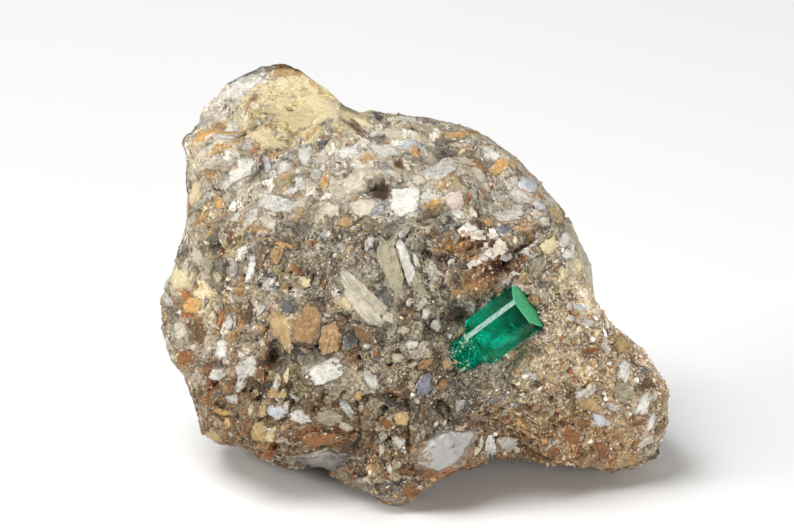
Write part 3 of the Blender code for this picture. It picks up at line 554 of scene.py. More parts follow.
# The named fragments of each mineral: (steps right, steps down, half length and half width in steps,
# turn in degrees).
CHIPS = {
    "calcite_plates": (
        (237, 90, 33, 8.5, 37), (224, 136, 24, 5, 35), (244.6, 116.4, 3.4, 6.5, 10),
        (231, 129.4, 9, 3.2, 22), (240, 171, 25, 6, 37), (228, 184, 10, 4.5, 30), (300, 184, 5.5, 6, 20),
        (293, 191, 10, 3.2, 24), (404, 119, 14, 4, -8), (383, 150, 14, 7, -10), (350, 152, 13, 6, 8),
        (316, 453.5, 27, 1.9, 3), (404.6, 199, 17, 15, 0), (470, 231, 12, 6, -8),
        (406.5, 263.5, 32, 6.2, -72), (251.5, 270, 17, 3.4, 82), (242, 252, 12, 3.6, 60),
        (269.5, 282, 9, 3.6, 50), (220.7, 350, 10, 4.8, -80), (241, 354.4, 7.4, 2.8, -70),
        (217.5, 375.5, 7.4, 6.4, 0), (231, 298, 6, 3, 80), (326.5, 372, 21, 12.5, 6),
        (366.4, 346.5, 4.4, 3.6, 0), (371, 379, 11.6, 6.4, -58), (425.4, 313.6, 7, 4.6, 70),
        (409.3, 302, 4.4, 3, 70), (458, 213, 9, 4, -30), (565.8, 238, 8, 5.6, 80), (568, 254, 6.6, 4.6, -40),
        (492, 154, 10, 4, -20), (570, 318, 4.6, 4, -30), (605.7, 341, 9.4, 3.6, 80), (608, 350, 6, 4.4, -60),
        (626, 371, 12, 7.6, 60), (644.5, 404, 13, 5.6, 48), (585.3, 392.4, 11, 4.6, 30),
        (651.6, 423, 11, 5, 76), (527, 369, 4, 2.8, 0), (389.8, 469, 4.6, 4, 0), (489.5, 445, 13.6, 5.2, 84),
        (295.2, 398.8, 5.6, 4, -30), (286, 406, 4.6, 2.6, 80),
    ),
    "quartz_chips": (
        (217.5, 100, 6, 3, 45), (206, 119, 25, 6, 40), (221, 166, 8, 2.8, 12), (203.5, 201, 9.5, 3.6, 70),
        (247, 146, 7, 4, 60), (279, 203, 20, 9, -6), (304, 153, 8, 11, 0), (316, 175, 5.5, 8.5, 0),
        (284, 166, 8, 6, 0), (252, 216, 10, 6, 60), (236, 216, 7, 5, 40), (242, 79, 25, 4.6, 33),
        (439, 171, 18, 11, -12), (428.4, 197, 9.4, 4, -4), (369, 243, 9, 5, 70), (416, 261, 8, 3.2, -70),
        (404, 232, 7, 4, 40), (168, 300, 9, 3.4, -80), (233, 268, 9, 4, 76), (260.8, 309, 7.4, 4.2, 80),
        (246.7, 367, 12, 9, 70), (229, 322, 8, 4, 80), (436, 324, 7, 5, 60), (412, 345, 8, 5, 20),
        (509.4, 215.7, 14.4, 6.8, 2), (520, 196, 12, 5, -36), (497, 197, 9, 4, -30), (545, 222, 7, 4, -50),
        (588, 323, 6, 4.4, 0), (613, 407, 6, 5, 0), (346, 407, 14, 5, -58), (383, 437, 8, 4, 70),
        (398, 441, 7, 5, 0), (508, 443, 11, 5.6, 4), (460, 405, 8, 6, 60), (300.3, 417.5, 10.4, 6.4, -24),
        (277, 383, 8, 4, 84), (240, 386, 8, 5, 70), (233, 400, 8, 5, -40),
    ),
    "tan_chips": (
        (252, 101, 12, 3, 40), (219, 127, 8, 4.4, 30), (270.6, 126, 6, 3.4, 10), (284, 72, 17, 6.5, -6),
        (313.5, 84, 14, 2.6, -47), (187.5, 206, 13, 2.2, 88), (367.7, 157.7, 8.4, 4, 4),
        (345, 222, 8, 6, -20), (163.5, 315, 9, 2.2, -80), (276, 255, 10, 5.2, 74), (306, 324, 23, 13, 76),
        (331, 338, 17, 11, 84), (536, 299.6, 5.6, 4, 70), (617, 432, 9, 5, 20), (625, 455, 10, 5, 8),
        (272.8, 393.7, 6, 5, 60),
    ),
    "limonite_chips": (
        (210, 132, 25, 6.5, 32), (216.5, 148, 14, 3.4, 22), (249.5, 115, 9, 2.2, 80), (207, 172, 9, 4.2, 8),
        (218.5, 203, 7.5, 4.2, -62), (324, 180, 13, 3.6, 74), (311, 132.6, 7, 2.6, 20),
        (415, 149.5, 5.4, 3.2, -42), (458, 134, 14, 3, 2), (433, 204.5, 8, 3.6, 14),
        (192.8, 306, 9.6, 8.8, 50), (285, 245, 7.4, 3.2, -10), (499.6, 166.5, 9.4, 6.6, 20),
        (488.8, 221.7, 4.6, 4.2, 0), (549, 344.5, 3.4, 2.8, 0), (564.5, 365, 6, 3, 40),
        (358.7, 396.3, 7, 3.6, 80), (520, 423.5, 7, 3.2, -36), (528, 433.5, 10, 2.4, -26),
        (544.3, 440, 3.6, 3.4, 0), (220.7, 411.5, 11.4, 3.8, -18), (227.9, 423, 5.6, 5, -20),
    ),
    "slate_chips": (
        (211, 137.5, 1.7, 1.6, 0), (231, 114, 6, 1.7, 30), (321.5, 143.5, 7.4, 5, 12),
        (206, 300, 4.4, 2.8, 80), (288, 306.7, 8.6, 8.2, 0), (350, 341, 11, 7, 70), (384.3, 298, 11, 5, -62),
        (642.4, 370.5, 6.6, 3, -4), (541.4, 283, 9, 3.6, -8), (496, 400.5, 10.4, 4.6, 20),
        (217.6, 393.7, 4.8, 3.6, 10), (478, 337, 6, 3, 0),
    ),
    "straw_blades": (
        (266, 138, 27, 9, -24), (304, 92, 28, 15, -35), (276, 97, 18, 15, 20), (290, 112, 42, 14, -10),
        (328, 112, 18, 9, -30), (352, 118, 24, 6.5, -14), (196, 194, 13, 5.5, 76),
        (178.4, 279, 15.5, 9.5, -66), (218.5, 276.4, 5.4, 2.8, -70), (305, 282, 7.6, 5, -40),
        (343, 304, 10, 7, -35), (548.4, 246, 11, 8, 60), (580, 243, 12, 4, -62), (596.5, 333, 5.6, 5, 20),
        (251, 409, 5, 4, 70), (268.7, 437.6, 8.4, 5, 80), (286, 377, 8, 4, 80),
    ),
    "feldspar_chips": (
        (211, 163, 19, 3.6, 6), (235, 150, 8, 3, -80), (298, 203, 8, 5, 10), (322, 158, 6.6, 6, 0),
        (268, 222, 9, 7, -20), (415, 136, 7.5, 4, -20), (391, 133, 16, 4.5, -18), (417.6, 179.4, 9, 6, -20),
        (395, 174, 8, 4, -20), (336, 187, 8, 13, 8), (354, 181, 14, 10, 20), (362, 206, 13, 9, 10),
        (331, 210, 9, 7, 0), (197, 256, 9, 6, -80), (179.5, 330, 10, 5, -72), (361, 299, 33, 16, -50),
        (585, 262, 24, 6, -76), (421.8, 304, 9, 3.4, 60), (389, 318, 8, 5, -30), (404, 330, 7, 5, 0),
        (397, 358, 7, 4, -10), (479, 174, 10, 6, -20), (464, 160, 12, 5, -12), (655, 395, 6, 3.4, 60),
        (645, 441, 10, 6, 30), (346, 427, 7.6, 5.4, -40), (381.6, 449, 8.4, 3.2, 80),
        (481, 443.5, 8, 3.4, 80),
    ),
    "brown_chips": (
        (215.3, 189, 4.5, 3.5, -40), (197.5, 332, 15, 8, -66), (261, 257, 13, 3, 72),
        (249, 316.5, 11, 8, 82), (259.5, 375, 10, 5.4, -74), (339.6, 317.5, 8.4, 3, -24),
        (555, 270, 6.6, 4.2, 70), (646.5, 384, 10.6, 7, 12), (570, 293.5, 6.4, 3.8, -10),
        (423.5, 412.7, 6.6, 4.6, 80), (361, 455.5, 5, 4, 0), (402, 455.5, 9, 4.4, 10), (495, 425, 6, 5, -30),
        (474, 405.5, 4.6, 4.4, 50), (300, 446, 12, 5, 20),
    ),
    "bluish_quartz": (
        (267, 165, 4.6, 8, 8), (411, 143, 13, 4, 0), (530, 184, 10.4, 8.4, -50), (540, 205, 8, 4, -40),
        (579, 307.8, 5.4, 4.8, 30), (600.6, 421, 8, 6, -10), (533, 377, 4.6, 4, 40),
        (277, 413, 10.4, 5.6, -20), (230.3, 434.5, 3.6, 3.2, 0),
    ),
    "olive_laths": (
        (423, 127, 10.5, 5.5, -26), (390.5, 267, 32, 10, -76), (418.5, 284, 14, 7.4, -72),
        (393, 242, 8, 4, 60), (207, 266, 9.5, 6.5, -60), (178.5, 344.5, 6.5, 5.5, 0), (220, 303, 7, 4, -80),
        (536, 268, 13, 8, 62), (626, 392, 11.4, 9.4, 0), (599.6, 388.4, 7.4, 3.6, 80),
        (328.6, 417, 13.6, 10.4, -6), (396, 465, 6.4, 4.6, 60), (243, 452, 10, 5, -30),
    ),
    "rust_patches": (
        (467, 146, 17, 2.4, -9), (366.5, 257, 2.6, 7, 8), (481.8, 191, 4.6, 3, 28),
        (231.5, 238.5, 7.4, 3, -62), (186, 358, 10, 7.5, -50), (322.6, 285, 8, 2.6, 60),
        (375.4, 353, 7, 3.6, -40), (351.5, 364, 9, 3.2, -52), (491, 177, 6.4, 2.8, -42),
        (590.4, 350.6, 6.6, 6, 45), (556, 395.5, 3.8, 3.6, 0), (638.4, 423, 11.4, 4.8, 18),
        (321, 439, 22, 7.4, -4), (354, 437, 5.4, 4, 80), (386.7, 424, 10, 8, -20), (410, 492, 14, 7, 22),
        (371.5, 457.6, 6, 4.6, 50), (529.8, 421, 14.6, 2.6, -37), (211.5, 407, 3.6, 3.2, 0),
        (254, 394.7, 6, 4, 50), (571, 436, 14, 9, -20), (553, 450, 12, 5, 6), (600, 446, 10, 6, -10),
        (583, 423, 11, 6, 10),
    ),
    "rosy_calcite": (
        (455.5, 200, 10.5, 8.5, -10),
    ),
    "grey_quartz": (
        (446, 450, 34, 16, 20),
    ),
    "banded_chalcedony": (
        (323, 461.5, 31, 7.5, -4),
    ),
    "ochre_chips": (
        (279.5, 328, 24, 9.5, -64), (446.5, 362.5, 6.5, 3.8, 80), (513.5, 163, 6, 4.6, -40),
        (506, 236.5, 6, 2.6, 20), (558, 213.5, 10.4, 5.2, -36), (623, 345.5, 10, 7.5, -38),
        (589.4, 405, 9.6, 6, -8), (402.5, 419.5, 9, 7, 10), (213, 436.5, 8.4, 6.4, -30),
        (261.5, 410, 7.4, 4.6, 80), (256.4, 433.5, 9.4, 8, -60), (282, 394.7, 5, 4, 20),
    ),
    "honey_chips": (
        (362.4, 334, 14.6, 6.6, -33), (424.5, 364, 10, 4.6, 38), (442.3, 386, 8.4, 4.6, 80),
    ),
    "blue_slate": (
        (424, 385.5, 13, 9.6, 84), (504, 230, 8, 6.6, 10), (516.7, 405.5, 4.4, 3.4, 0),
    ),
}


# ---------------------------------------------------------------- the stone's form


def to_row(points):
    """Show-frame millimetres to the row's frame in metres."""
    x, s, t = points.T
    across = HUB_X + x
    back = HUB_Y + s * math.sin(SHOW_TILT) - t * math.cos(SHOW_TILT)
    up = HUB_HEIGHT + s * math.cos(SHOW_TILT) + t * math.sin(SHOW_TILT)
    return np.column_stack((across, back, up)) * MM


def to_show(points):
    """The row's frame in metres to show-frame millimetres."""
    across, back, up = (points / MM).T
    back = back - HUB_Y
    up = up - HUB_HEIGHT
    s = back * math.sin(SHOW_TILT) + up * math.cos(SHOW_TILT)
    t = up * math.sin(SHOW_TILT) - back * math.cos(SHOW_TILT)
    return np.column_stack((across - HUB_X, s, t))


def unit(vectors):
    """Vectors, each drawn out or in to a length of 1."""
    return vectors / np.linalg.norm(vectors, axis=-1, keepdims=True)


def ramp(value, low, high):
    """0 below low, 1 above high, with a smooth rise between them."""
    share = np.clip((value - low) / (high - low), 0.0, 1.0)
    return share * share * (3.0 - 2.0 * share)


def soft_least(values, rounding):
    """The least of several arrays, rounded over where two of them meet."""
    stack = np.stack(values)
    lowest = stack.min(axis=0)
    return lowest - rounding * np.log(np.exp((lowest - stack) / rounding).sum(axis=0))


def outline_radius(angle):
    """Distance from the hub to the outline at each angle."""
    corners = np.array(OUTLINE)
    corner_angle = np.arctan2(corners[:, 1], corners[:, 0])
    corner_radius = np.hypot(corners[:, 0], corners[:, 1])
    return np.interp(angle, corner_angle, corner_radius, period=2.0 * math.pi)


def outline_depth(x, s):
    """Depth t of the surface that the outline lies in."""
    low = ramp(-s, -BASE_STARTS, -BASE_FULL)
    nose = np.exp(-(((x - NOSE_X) / NOSE_WIDTH) ** 2))
    return low * (BASE_SET_BACK + NOSE_FORWARD * nose)


def broken_faces(faces, x, s):
    """Depth of each broken face at x and s."""
    return [over_hub + along_x * x + along_s * s for over_hub, along_x, along_s in faces]


def waves(points, longest, height, seed):
    """A sum of cosine waves in seeded directions, each between a half and the whole of the longest."""
    rng = np.random.default_rng(seed)
    direction = rng.normal(size=(LUMP_WAVES, 3))
    direction = unit(direction)
    length = longest * rng.uniform(0.5, 1.0, LUMP_WAVES)
    phase = rng.uniform(0.0, 2.0 * math.pi, LUMP_WAVES)
    turns = points @ (direction * (2.0 * math.pi / length)[:, None]).T + phase
    return np.cos(turns).sum(axis=1) * height * math.sqrt(2.0 / LUMP_WAVES)


def lattice_numbers(corner, seed):
    """Three numbers from 0 to 1 for each whole-number corner, always the same for the same corner."""
    mixed = corner.astype(np.uint64) * np.array([73856093, 19349663, 83492791], np.uint64)
    key = mixed[:, 0] ^ mixed[:, 1] ^ mixed[:, 2] ^ np.uint64(seed * 2654435761 % 2**32)
    columns = []
    for _ in range(3):
        key = (key ^ (key >> np.uint64(15))) * np.uint64(2246822519) & np.uint64(0xFFFFFFFF)
        key = (key ^ (key >> np.uint64(13))) * np.uint64(3266489917) & np.uint64(0xFFFFFFFF)
        columns.append(key.astype(float) / 2.0**32)
    return np.column_stack(columns)


def fragments(points, size, seed):
    """Splits space into one cell about each point of a jittered lattice.

    Returns the vector from the cell's own point, three numbers of the cell and how much nearer its own point
    is than the next one, as a share of the size.
    """
    home = np.floor(points / size).astype(np.int64)
    nearest = np.full(len(points), np.inf)
    second = np.full(len(points), np.inf)
    away = np.zeros_like(points)
    numbers = np.zeros_like(points)
    for step in itertools.product((-1, 0, 1), repeat=3):
        corner = home + step
        jitter = lattice_numbers(corner, seed)
        offset = points - (corner + jitter) * size
        distance = np.linalg.norm(offset, axis=1)
        closer = distance < nearest
        second = np.where(closer, nearest, np.minimum(second, distance))
        nearest = np.where(closer, distance, nearest)
        away[closer] = offset[closer]
        numbers[closer] = lattice_numbers(corner[closer], seed + 1)
    return away, numbers, (second - nearest) / size


def outlines(angle):
    """The outline's radius at each angle, and its mean over OUTLINE_BLUR to each side."""
    blurred = [outline_radius(angle + OUTLINE_BLUR * k / 6.0) for k in range(-6, 7)]
    return outline_radius(angle), np.mean(blurred, axis=0)


def front_radius(sharp, soft, reach):
    """The radius at a share reach of the way out: (soft + (sharp - soft) * reach^hold) * reach."""
    return (soft + (sharp - soft) * reach**OUTLINE_HOLD) * reach


def angle_and_reach(direction):
    """The angle of each direction round t, and how far out towards the outline it stands for."""
    angle = np.arctan2(direction[:, 1], direction[:, 0])
    return angle, np.hypot(direction[:, 0], direction[:, 1]) ** BOXINESS


def broad_form(direction):
    """Show-frame points of the block before its relief, one for each unit direction from the hub.

    The angle round t picks a point of the outline and the share across picks how far out towards it. Depth
    grows from the outline inwards as on a boxy dome, and the broken faces cut it off.
    """
    angle, reach = angle_and_reach(direction)
    rise = np.abs(direction[:, 2]) ** BOXINESS
    radius = front_radius(*outlines(angle), reach)
    x = radius * np.cos(angle)
    s = radius * np.sin(angle)
    middle = outline_depth(x, s)
    front = soft_least([middle + FRONT_DEPTH * rise, *broken_faces(FRONT_FACES, x, s)], FACE_ROUNDING)
    back = soft_least([BACK_DEPTH * rise - middle, *broken_faces(BACK_FACES, x, s)], FACE_ROUNDING)
    return np.column_stack((x, s, np.where(direction[:, 2] > 0.0, front, -back)))


def front_share(points):
    """1 on the show side, 0 on the back, for forms that belong to the show side only."""
    return ramp(points[:, 2] - outline_depth(points[:, 0], points[:, 1]), 0.0, 4.0)


def ledge_relief(points):
    """How far the peak is set back behind the upper ledge."""
    line = np.array(LEDGE_LINE)
    above = points[:, 1] - np.interp(points[:, 0], line[:, 0], line[:, 1])
    return -LEDGE_DROP * ramp(above, 0.0, LEDGE_WIDTH)


def form_relief(points):
    """Lift of the named forms: flat-topped mounds and pits with sloping sides."""
    lift = np.zeros(len(points))
    for x, s, half_length, half_width, turn, height in FRONT_FORMS:
        cosine, sine = math.cos(math.radians(turn)), math.sin(math.radians(turn))
        right, up = points[:, 0] - x, points[:, 1] - s
        along = (right * cosine + up * sine) / half_length
        across = (up * cosine - right * sine) / half_width
        edge = (np.abs(along) ** FORM_POWER + np.abs(across) ** FORM_POWER) ** (1.0 / FORM_POWER)
        lift += height * (1.0 - ramp(edge, *FORM_SLOPE))
    return lift


def bed_pull(points):
    """How far, and with what share, each point is drawn to the bed that the crystal lies in."""
    right, up = points[:, 0] - CRYSTAL_X, points[:, 1] - CRYSTAL_S
    distance = np.hypot(right, up)
    share = 1.0 - ramp(distance, *BED_REACH)
    bed = CRYSTAL_T - BED_DEPTH + BED_SLOPE[0] * right + BED_SLOPE[1] * up
    return share * (bed - points[:, 2])


def fragment_relief(points):
    """Height of the angular fragments, each set at its own level and tilt, with a seam round it."""
    height = np.zeros(len(points))
    for number, (size, level, tilt) in enumerate(FRAGMENTS):
        away, numbers, gap = fragments(points, size, 11 + 5 * number)
        slope = (numbers - 0.5) * 2.0 * tilt
        height += level * (numbers[:, 0] + numbers[:, 2] - 1.0) + (away * slope).sum(axis=1)
        height -= SEAM_DEPTH * level * (1.0 - ramp(gap, 0.0, SEAM_WIDTH))
    return height


def outward(points):
    """Unit directions out of the block, from a spine that runs along its length."""
    direction = points - points * SPINE
    return unit(direction)


def underside(points):
    """Lifts what lies under the block on to an uneven floor that dips to the standing plane at the feet."""
    row = to_row(points) / MM
    floor = UNDERSIDE_CLEARANCE + UNDERSIDE_WAVES[1] * waves(row, UNDERSIDE_WAVES[0], 1.0, 71)
    for x, y, half_width in FEET:
        distance = np.hypot(row[:, 0] - x, row[:, 1] - y) / half_width
        floor -= FOOT_REACH * (1.0 - ramp(distance, *FOOT_SLOPE))
    row[:, 2] = -soft_least([-row[:, 2], -floor], UNDERSIDE_ROUNDING)
    return to_show(row * MM)


def crystal_frame():
    """The crystal's middle in the show frame, and its three axes: across, out of its main face, and along."""
    turn = np.array((math.cos(CRYSTAL_TURN), math.sin(CRYSTAL_TURN), 0.0))
    along = turn * math.cos(CRYSTAL_RISE) + np.array((0.0, 0.0, math.sin(CRYSTAL_RISE)))
    aside = np.cross((0.0, 0.0, 1.0), turn)
    out = np.cross(along, aside)
    across = aside * math.cos(CRYSTAL_ROLL) + out * math.sin(CRYSTAL_ROLL)
    middle = np.array((CRYSTAL_X, CRYSTAL_S, CRYSTAL_T))
    return middle, across, np.cross(along, across), along


def crystal_profile(radius):
    """Twelve points round the crystal: a hexagon with each of its edges taken off by a narrow face."""
    bevel = np.full(6, EDGE_BEVEL)
    bevel[SHOWN_EDGE] = SHOWN_BEVEL
    angle = (np.radians(60.0 * np.arange(6))[:, None] + bevel[:, None] * (-1.0, 1.0)).ravel()
    return np.column_stack((np.cos(angle), np.sin(angle))) * radius


def base_relief(points, fragment_share, fine_share):
    """Relief over the broad form: waves, then levelled and tilted cells from large to small.

    relief = sum of waves + fragment_share * coarse cells + fine_share * splinters.
    """
    relief = np.zeros(len(points))
    for number, (longest, height) in enumerate(LUMPS):
        relief += waves(points, longest, height, 31 + number)
    relief += fragment_share * fragment_relief(points)
    if not np.any(fine_share):
        return relief
    space, _ = splinter_space(points)
    for size, level, tilt in FINE_FRAGMENTS:
        away, numbers, gap = fragments(space, size, splinter_seed(size))
        cell = level * (numbers[:, 0] + numbers[:, 2] - 1.0)
        cell += (away * (numbers - 0.5) * 2.0 * tilt).sum(axis=1)
        cell -= FINE_SEAM * size * (1.0 - ramp(gap, 0.0, FINE_SEAM_WIDTH))
        relief += fine_share * cell
    return relief


def splinter_seed(size):
    """The seed of the splinters of one width, so that their relief and their colours match."""
    return 61 + round(size * 10.0)


def splinter_space(points):
    """Points moved to a space in which the splinters are round, and the angle that they lie at.

    The points are bent by waves, turned by the lay of their block and pressed together along it:
    x' = press * (x cos a + s sin a), s' = s cos a - x sin a.
    """
    bent = points.copy()
    for number, (length, size) in enumerate(SPLINTER_BENDS):
        bent += np.column_stack([waves(points, length, size, 91 + 3 * number + axis) for axis in range(3)])
    away, numbers, _ = fragments(bent, LAY_BLOCK, 57)
    angle = lay((bent - away)[:, :2]) + math.radians(LAY_STRAY) * (numbers[:, 0] - 0.5)
    along = bent[:, 0] * np.cos(angle) + bent[:, 1] * np.sin(angle)
    aside = bent[:, 1] * np.cos(angle) - bent[:, 0] * np.sin(angle)
    return np.column_stack((along * SPLINTER_PRESS, aside, bent[:, 2])), angle


def stone_surface(direction, fragment_share, fine_share):
    """Show-frame points of the stone and the way out of it, one for each unit direction from the hub."""
    points = broad_form(direction)
    front = front_share(points)
    points[:, 2] += front * bed_pull(points)
    relief = base_relief(points, fragment_share, fine_share)
    relief *= 1.0 - (1.0 - RIM_RELIEF) * ramp(np.hypot(direction[:, 0], direction[:, 1]), *RIM_FADE)
    relief *= BACK_RELIEF + (1.0 - BACK_RELIEF) * front
    way_out = outward(points)
    shaped = points + way_out * relief[:, None]
    shaped[:, 2] += front * (ledge_relief(points) + form_relief(points))
    return underside(shaped), way_out


def plan_of(direction):
    """Where each direction lies on the unfolded plan, (x, s): the back is folded out past the outline.

    radius = front radius in front, and sharp * (2 - reach) behind.
    """
    angle, reach = angle_and_reach(direction)
    sharp, soft = outlines(angle)
    radius = np.where(direction[:, 2] >= 0.0, front_radius(sharp, soft, reach), sharp * (2.0 - reach))
    return np.column_stack((radius * np.cos(angle), radius * np.sin(angle)))


def direction_of(plan):
    """The unit direction from the hub of each place on the unfolded plan, found by halving."""
    angle = np.arctan2(plan[:, 1], plan[:, 0])
    radius = np.hypot(plan[:, 0], plan[:, 1])
    sharp, soft = outlines(angle)
    low = np.zeros(len(plan))
    high = np.ones(len(plan))
    for _ in range(HALVINGS):
        reach = (low + high) / 2.0
        short = front_radius(sharp, soft, reach) < radius
        low = np.where(short, reach, low)
        high = np.where(short, high, reach)
    reach = np.where(radius <= sharp, high, np.clip(2.0 - radius / sharp, 0.0, 1.0))
    flat = reach ** (1.0 / BOXINESS)
    rise = np.sqrt(np.clip(1.0 - flat**2, 0.0, 1.0)) * np.where(radius <= sharp, 1.0, -1.0)
    return np.column_stack((flat * np.cos(angle), flat * np.sin(angle), rise))


def plan_steps(points):
    """Where show-frame points are seen, in steps of the plan."""
    middle = (np.array(PLAN_MIDDLE) - PLAN_HUB) * STEP_SIZE
    near = VIEW_DISTANCE / (VIEW_DISTANCE + VIEW_DEPTH - points[:, 2])
    return PLAN_MIDDLE + (points[:, :2] - middle) * near[:, None] * STEPS_PER_MM


def plan_places(steps):
    """Places on the unfolded plan whose surface is seen at these steps, found by CORRECTIONS."""
    steps = np.asarray(steps, float)
    place = (steps - PLAN_HUB) * STEP_SIZE
    for _ in range(CORRECTIONS):
        surface, _ = stone_surface(direction_of(place), CHIP_RELIEF, 0.0)
        place = place + (steps - plan_steps(surface)) * STEP_SIZE * CORRECTION_SHARE
    return place


def patches(plan, table, power):
    """How near each place on the plan is to each row's patch, and the row's value.

    A row is (steps right, steps down, half width and half height in mm, value), and near is
    exp(-(across^2 + up^2)^power), with across and up in half sizes.
    """
    steps = PLAN_HUB + plan * STEPS_PER_MM
    for right, down, half_width, half_height, value in table:
        apart = (steps - (right, down)) * PLAN_STEP / (half_width, half_height)
        yield np.exp(-((apart**2).sum(axis=1) ** power)), value


def ball_grid():
    """A ball as six square patches of PATCH_STEPS: unit directions, welded at the seams, and its squares.

    Each patch is the even-angle map of a cube's face. The directions are then drawn towards the show side.
    """
    share = np.tan(np.linspace(-1.0, 1.0, PATCH_STEPS + 1) * math.pi / 4.0)
    across, up = np.meshgrid(share, share, indexing="ij")
    ones = np.ones_like(across)
    patches = [
        (ones, across, up), (-ones, up, across), (up, ones, across),
        (across, -ones, up), (across, up, ones), (up, across, -ones),
    ]
    points = np.concatenate([np.stack(patch, axis=-1).reshape(-1, 3) for patch in patches])
    points = unit(points)
    _, first, place = np.unique(np.round(points, 7), axis=0, return_index=True, return_inverse=True)
    order = np.arange((PATCH_STEPS + 1) ** 2).reshape(PATCH_STEPS + 1, PATCH_STEPS + 1)
    squares = np.stack((order[:-1, :-1], order[1:, :-1], order[1:, 1:], order[:-1, 1:]), axis=-1)
    squares = squares.reshape(-1, 4)
    squares = np.concatenate([squares + k * order.size for k in range(6)])
    direction = points[first] + np.array((0.0, 0.0, FRONT_SHIFT))
    direction = unit(direction)
    return direction, place.reshape(-1)[squares]


def crystal_planes(distances, share, shift, grow):
    """Planes, (normal, reach), that bound a length of the crystal between two distances along it."""
    middle, across, out, along = crystal_frame()
    centre = middle - across * shift - out * shift * 0.5
    radius = CRYSTAL_RADIUS * share * math.cos(math.pi / 6.0) + grow
    planes = []
    for k in range(6):
        angle = math.radians(30.0 + 60.0 * k)
        normal = across * math.cos(angle) + out * math.sin(angle)
        planes.append((normal, normal @ centre + radius))
    planes.append((along, along @ centre + distances[1] + grow))
    planes.append((-along, -along @ centre - distances[0] + grow))
    return planes


def sink_under(points, planes):
    """Moves the points inside a convex body straight back, away from the show side, until they are out of it.

    The way out is the least, over the planes that face back, of room / how much the plane faces back.
    """
    room = np.stack([reach - points @ normal for normal, reach in planes])
    facing = np.array([-normal[2] for normal, _ in planes])
    inside = room.min(axis=0) > 0.0
    back = facing > 1e-6
    way = (room[back] / facing[back][:, None]).min(axis=0)
    moved = points.copy()
    moved[inside, 2] -= way[inside]
    return moved


def pocket(points):
    """Sinks the stone under the crystal's prism and under its root, and gives how deep each point is sunk."""
    sunk = sink_under(points, crystal_planes(PRISM_LENGTH, 1.0, 0.0, POCKET_GAP))
    sunk = sink_under(sunk, crystal_planes(ROOT_LENGTH, ROOT_SHARE, ROOT_SHIFT, POCKET_GAP))
    return sunk, points[:, 2] - sunk[:, 2]


# ---------------------------------------------------------------- colours


def linear(colour):
    """A colour in 0 to 255, as a screen shows it, in the linear values that shading works in."""
    share = np.asarray(colour, float) / 255.0
    return np.where(share <= 0.04045, share / 12.92, ((share + 0.055) / 1.055) ** 2.4)


def zone_weights(plan):
    """The share of each mineral in the ground at each place on the plan: the general mix and the zones."""
    names = list(MINERALS)
    weights = np.tile([GENERAL_MIX.get(name, 0.0) for name in names], (len(plan), 1))
    weights /= weights.sum(axis=1, keepdims=True)
    for near, mix in patches(plan, ZONES, 1.5):
        local = np.array([mix.get(name, 0.0) for name in names])
        weights += (ZONE_STRENGTH * near)[:, None] * (local / local.sum() - weights)
    return weights


def pick(weights, number):
    """The mineral that each number from 0 to 1 picks from these weights."""
    total = np.cumsum(weights, axis=1)
    return (number[:, None] * total[:, -1:] > total).sum(axis=1).clip(0, weights.shape[1] - 1)


def mineral_colours():
    """Linear colours of the minerals, in the order of MINERALS."""
    return np.array([linear(colour) for colour in MINERALS.values()])


def ground_colour(points, plan):
    """The ground at each point: its colour, how much of it is loose matter, and how its grain lies.

    It starts as the zone's mean colour. Splinters of single minerals lie over it, small ones lowest.
    """
    weights = zone_weights(plan)
    colours = mineral_colours()
    tint = weights @ colours * CEMENT_SHADE
    loose = np.ones(len(points))
    space, angle = splinter_space(points)
    for size, share, own in SPLINTERS:
        _, numbers, gap = fragments(space, size, splinter_seed(size))
        kind = pick(weights, (numbers[:, 0] * 7.31 + size) % 1.0)
        tone = SPLINTER_TONE[0] + SPLINTER_TONE[1] * numbers[:, 1]
        shown = (numbers[:, 2] < share) & (gap > 0.04)
        cell = tint + own * (colours[kind] * tone[:, None] - tint)
        tint = np.where(shown[:, None], cell, tint)
        loose = np.where(shown, 0.35 * (size < 1.0), loose)
        angle = np.where(shown, angle + numbers[:, 1] - 0.5, angle)
    return tint, loose, angle


# ---------------------------------------------------------------- meshes


def mesh_piece(name, places, faces, smooth=True):
    """A piece from row-frame places in metres and one array of faces, riding on the one body."""
    data = bpy.data.meshes.new(name)
    sides = faces.shape[1]
    data.vertices.add(len(places))
    data.vertices.foreach_set("co", places.astype(np.float32).ravel())
    data.loops.add(faces.size)
    data.loops.foreach_set("vertex_index", faces.astype(np.int32).ravel())
    data.polygons.add(len(faces))
    data.polygons.foreach_set("loop_start", np.arange(0, faces.size, sides, dtype=np.int32))
    data.polygons.foreach_set("use_smooth", np.full(len(faces), smooth))
    data.update(calc_edges=True)
    data.validate()
    obj = bpy.data.objects.new(name, data)
    bpy.context.scene.collection.objects.link(obj)
    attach(obj, "root")
    return obj


def add_values(piece, name, values):
    """Stores numbers or linear colours on the piece's faces, if there are as many, or else on its points."""
    domain = "FACE" if len(values) == len(piece.data.polygons) else "POINT"
    values = np.asarray(values, np.float32)
    if values.ndim == 1:
        piece.data.attributes.new(name, "FLOAT", domain).data.foreach_set("value", values)
    else:
        rows = np.column_stack((values, np.ones(len(values), np.float32)))
        piece.data.attributes.new(name, "FLOAT_COLOR", domain).data.foreach_set("color", rows.ravel())


def add_map(piece, flat):
    """Stores a place on the flat, in metres, for each point, as the piece's UV map."""
    corner = np.empty(len(piece.data.loops), np.int32)
    piece.data.loops.foreach_get("vertex_index", corner)
    layer = piece.data.uv_layers.new(name="grain")
    layer.data.foreach_set("uv", flat[corner].astype(np.float32).ravel())


def stand_clear(points):
    """Row-frame places in metres of show-frame points, none of them lower than FLOOR_GAP."""
    places = to_row(points)
    places[:, 2] = np.maximum(places[:, 2], FLOOR_GAP * MM)
    return places


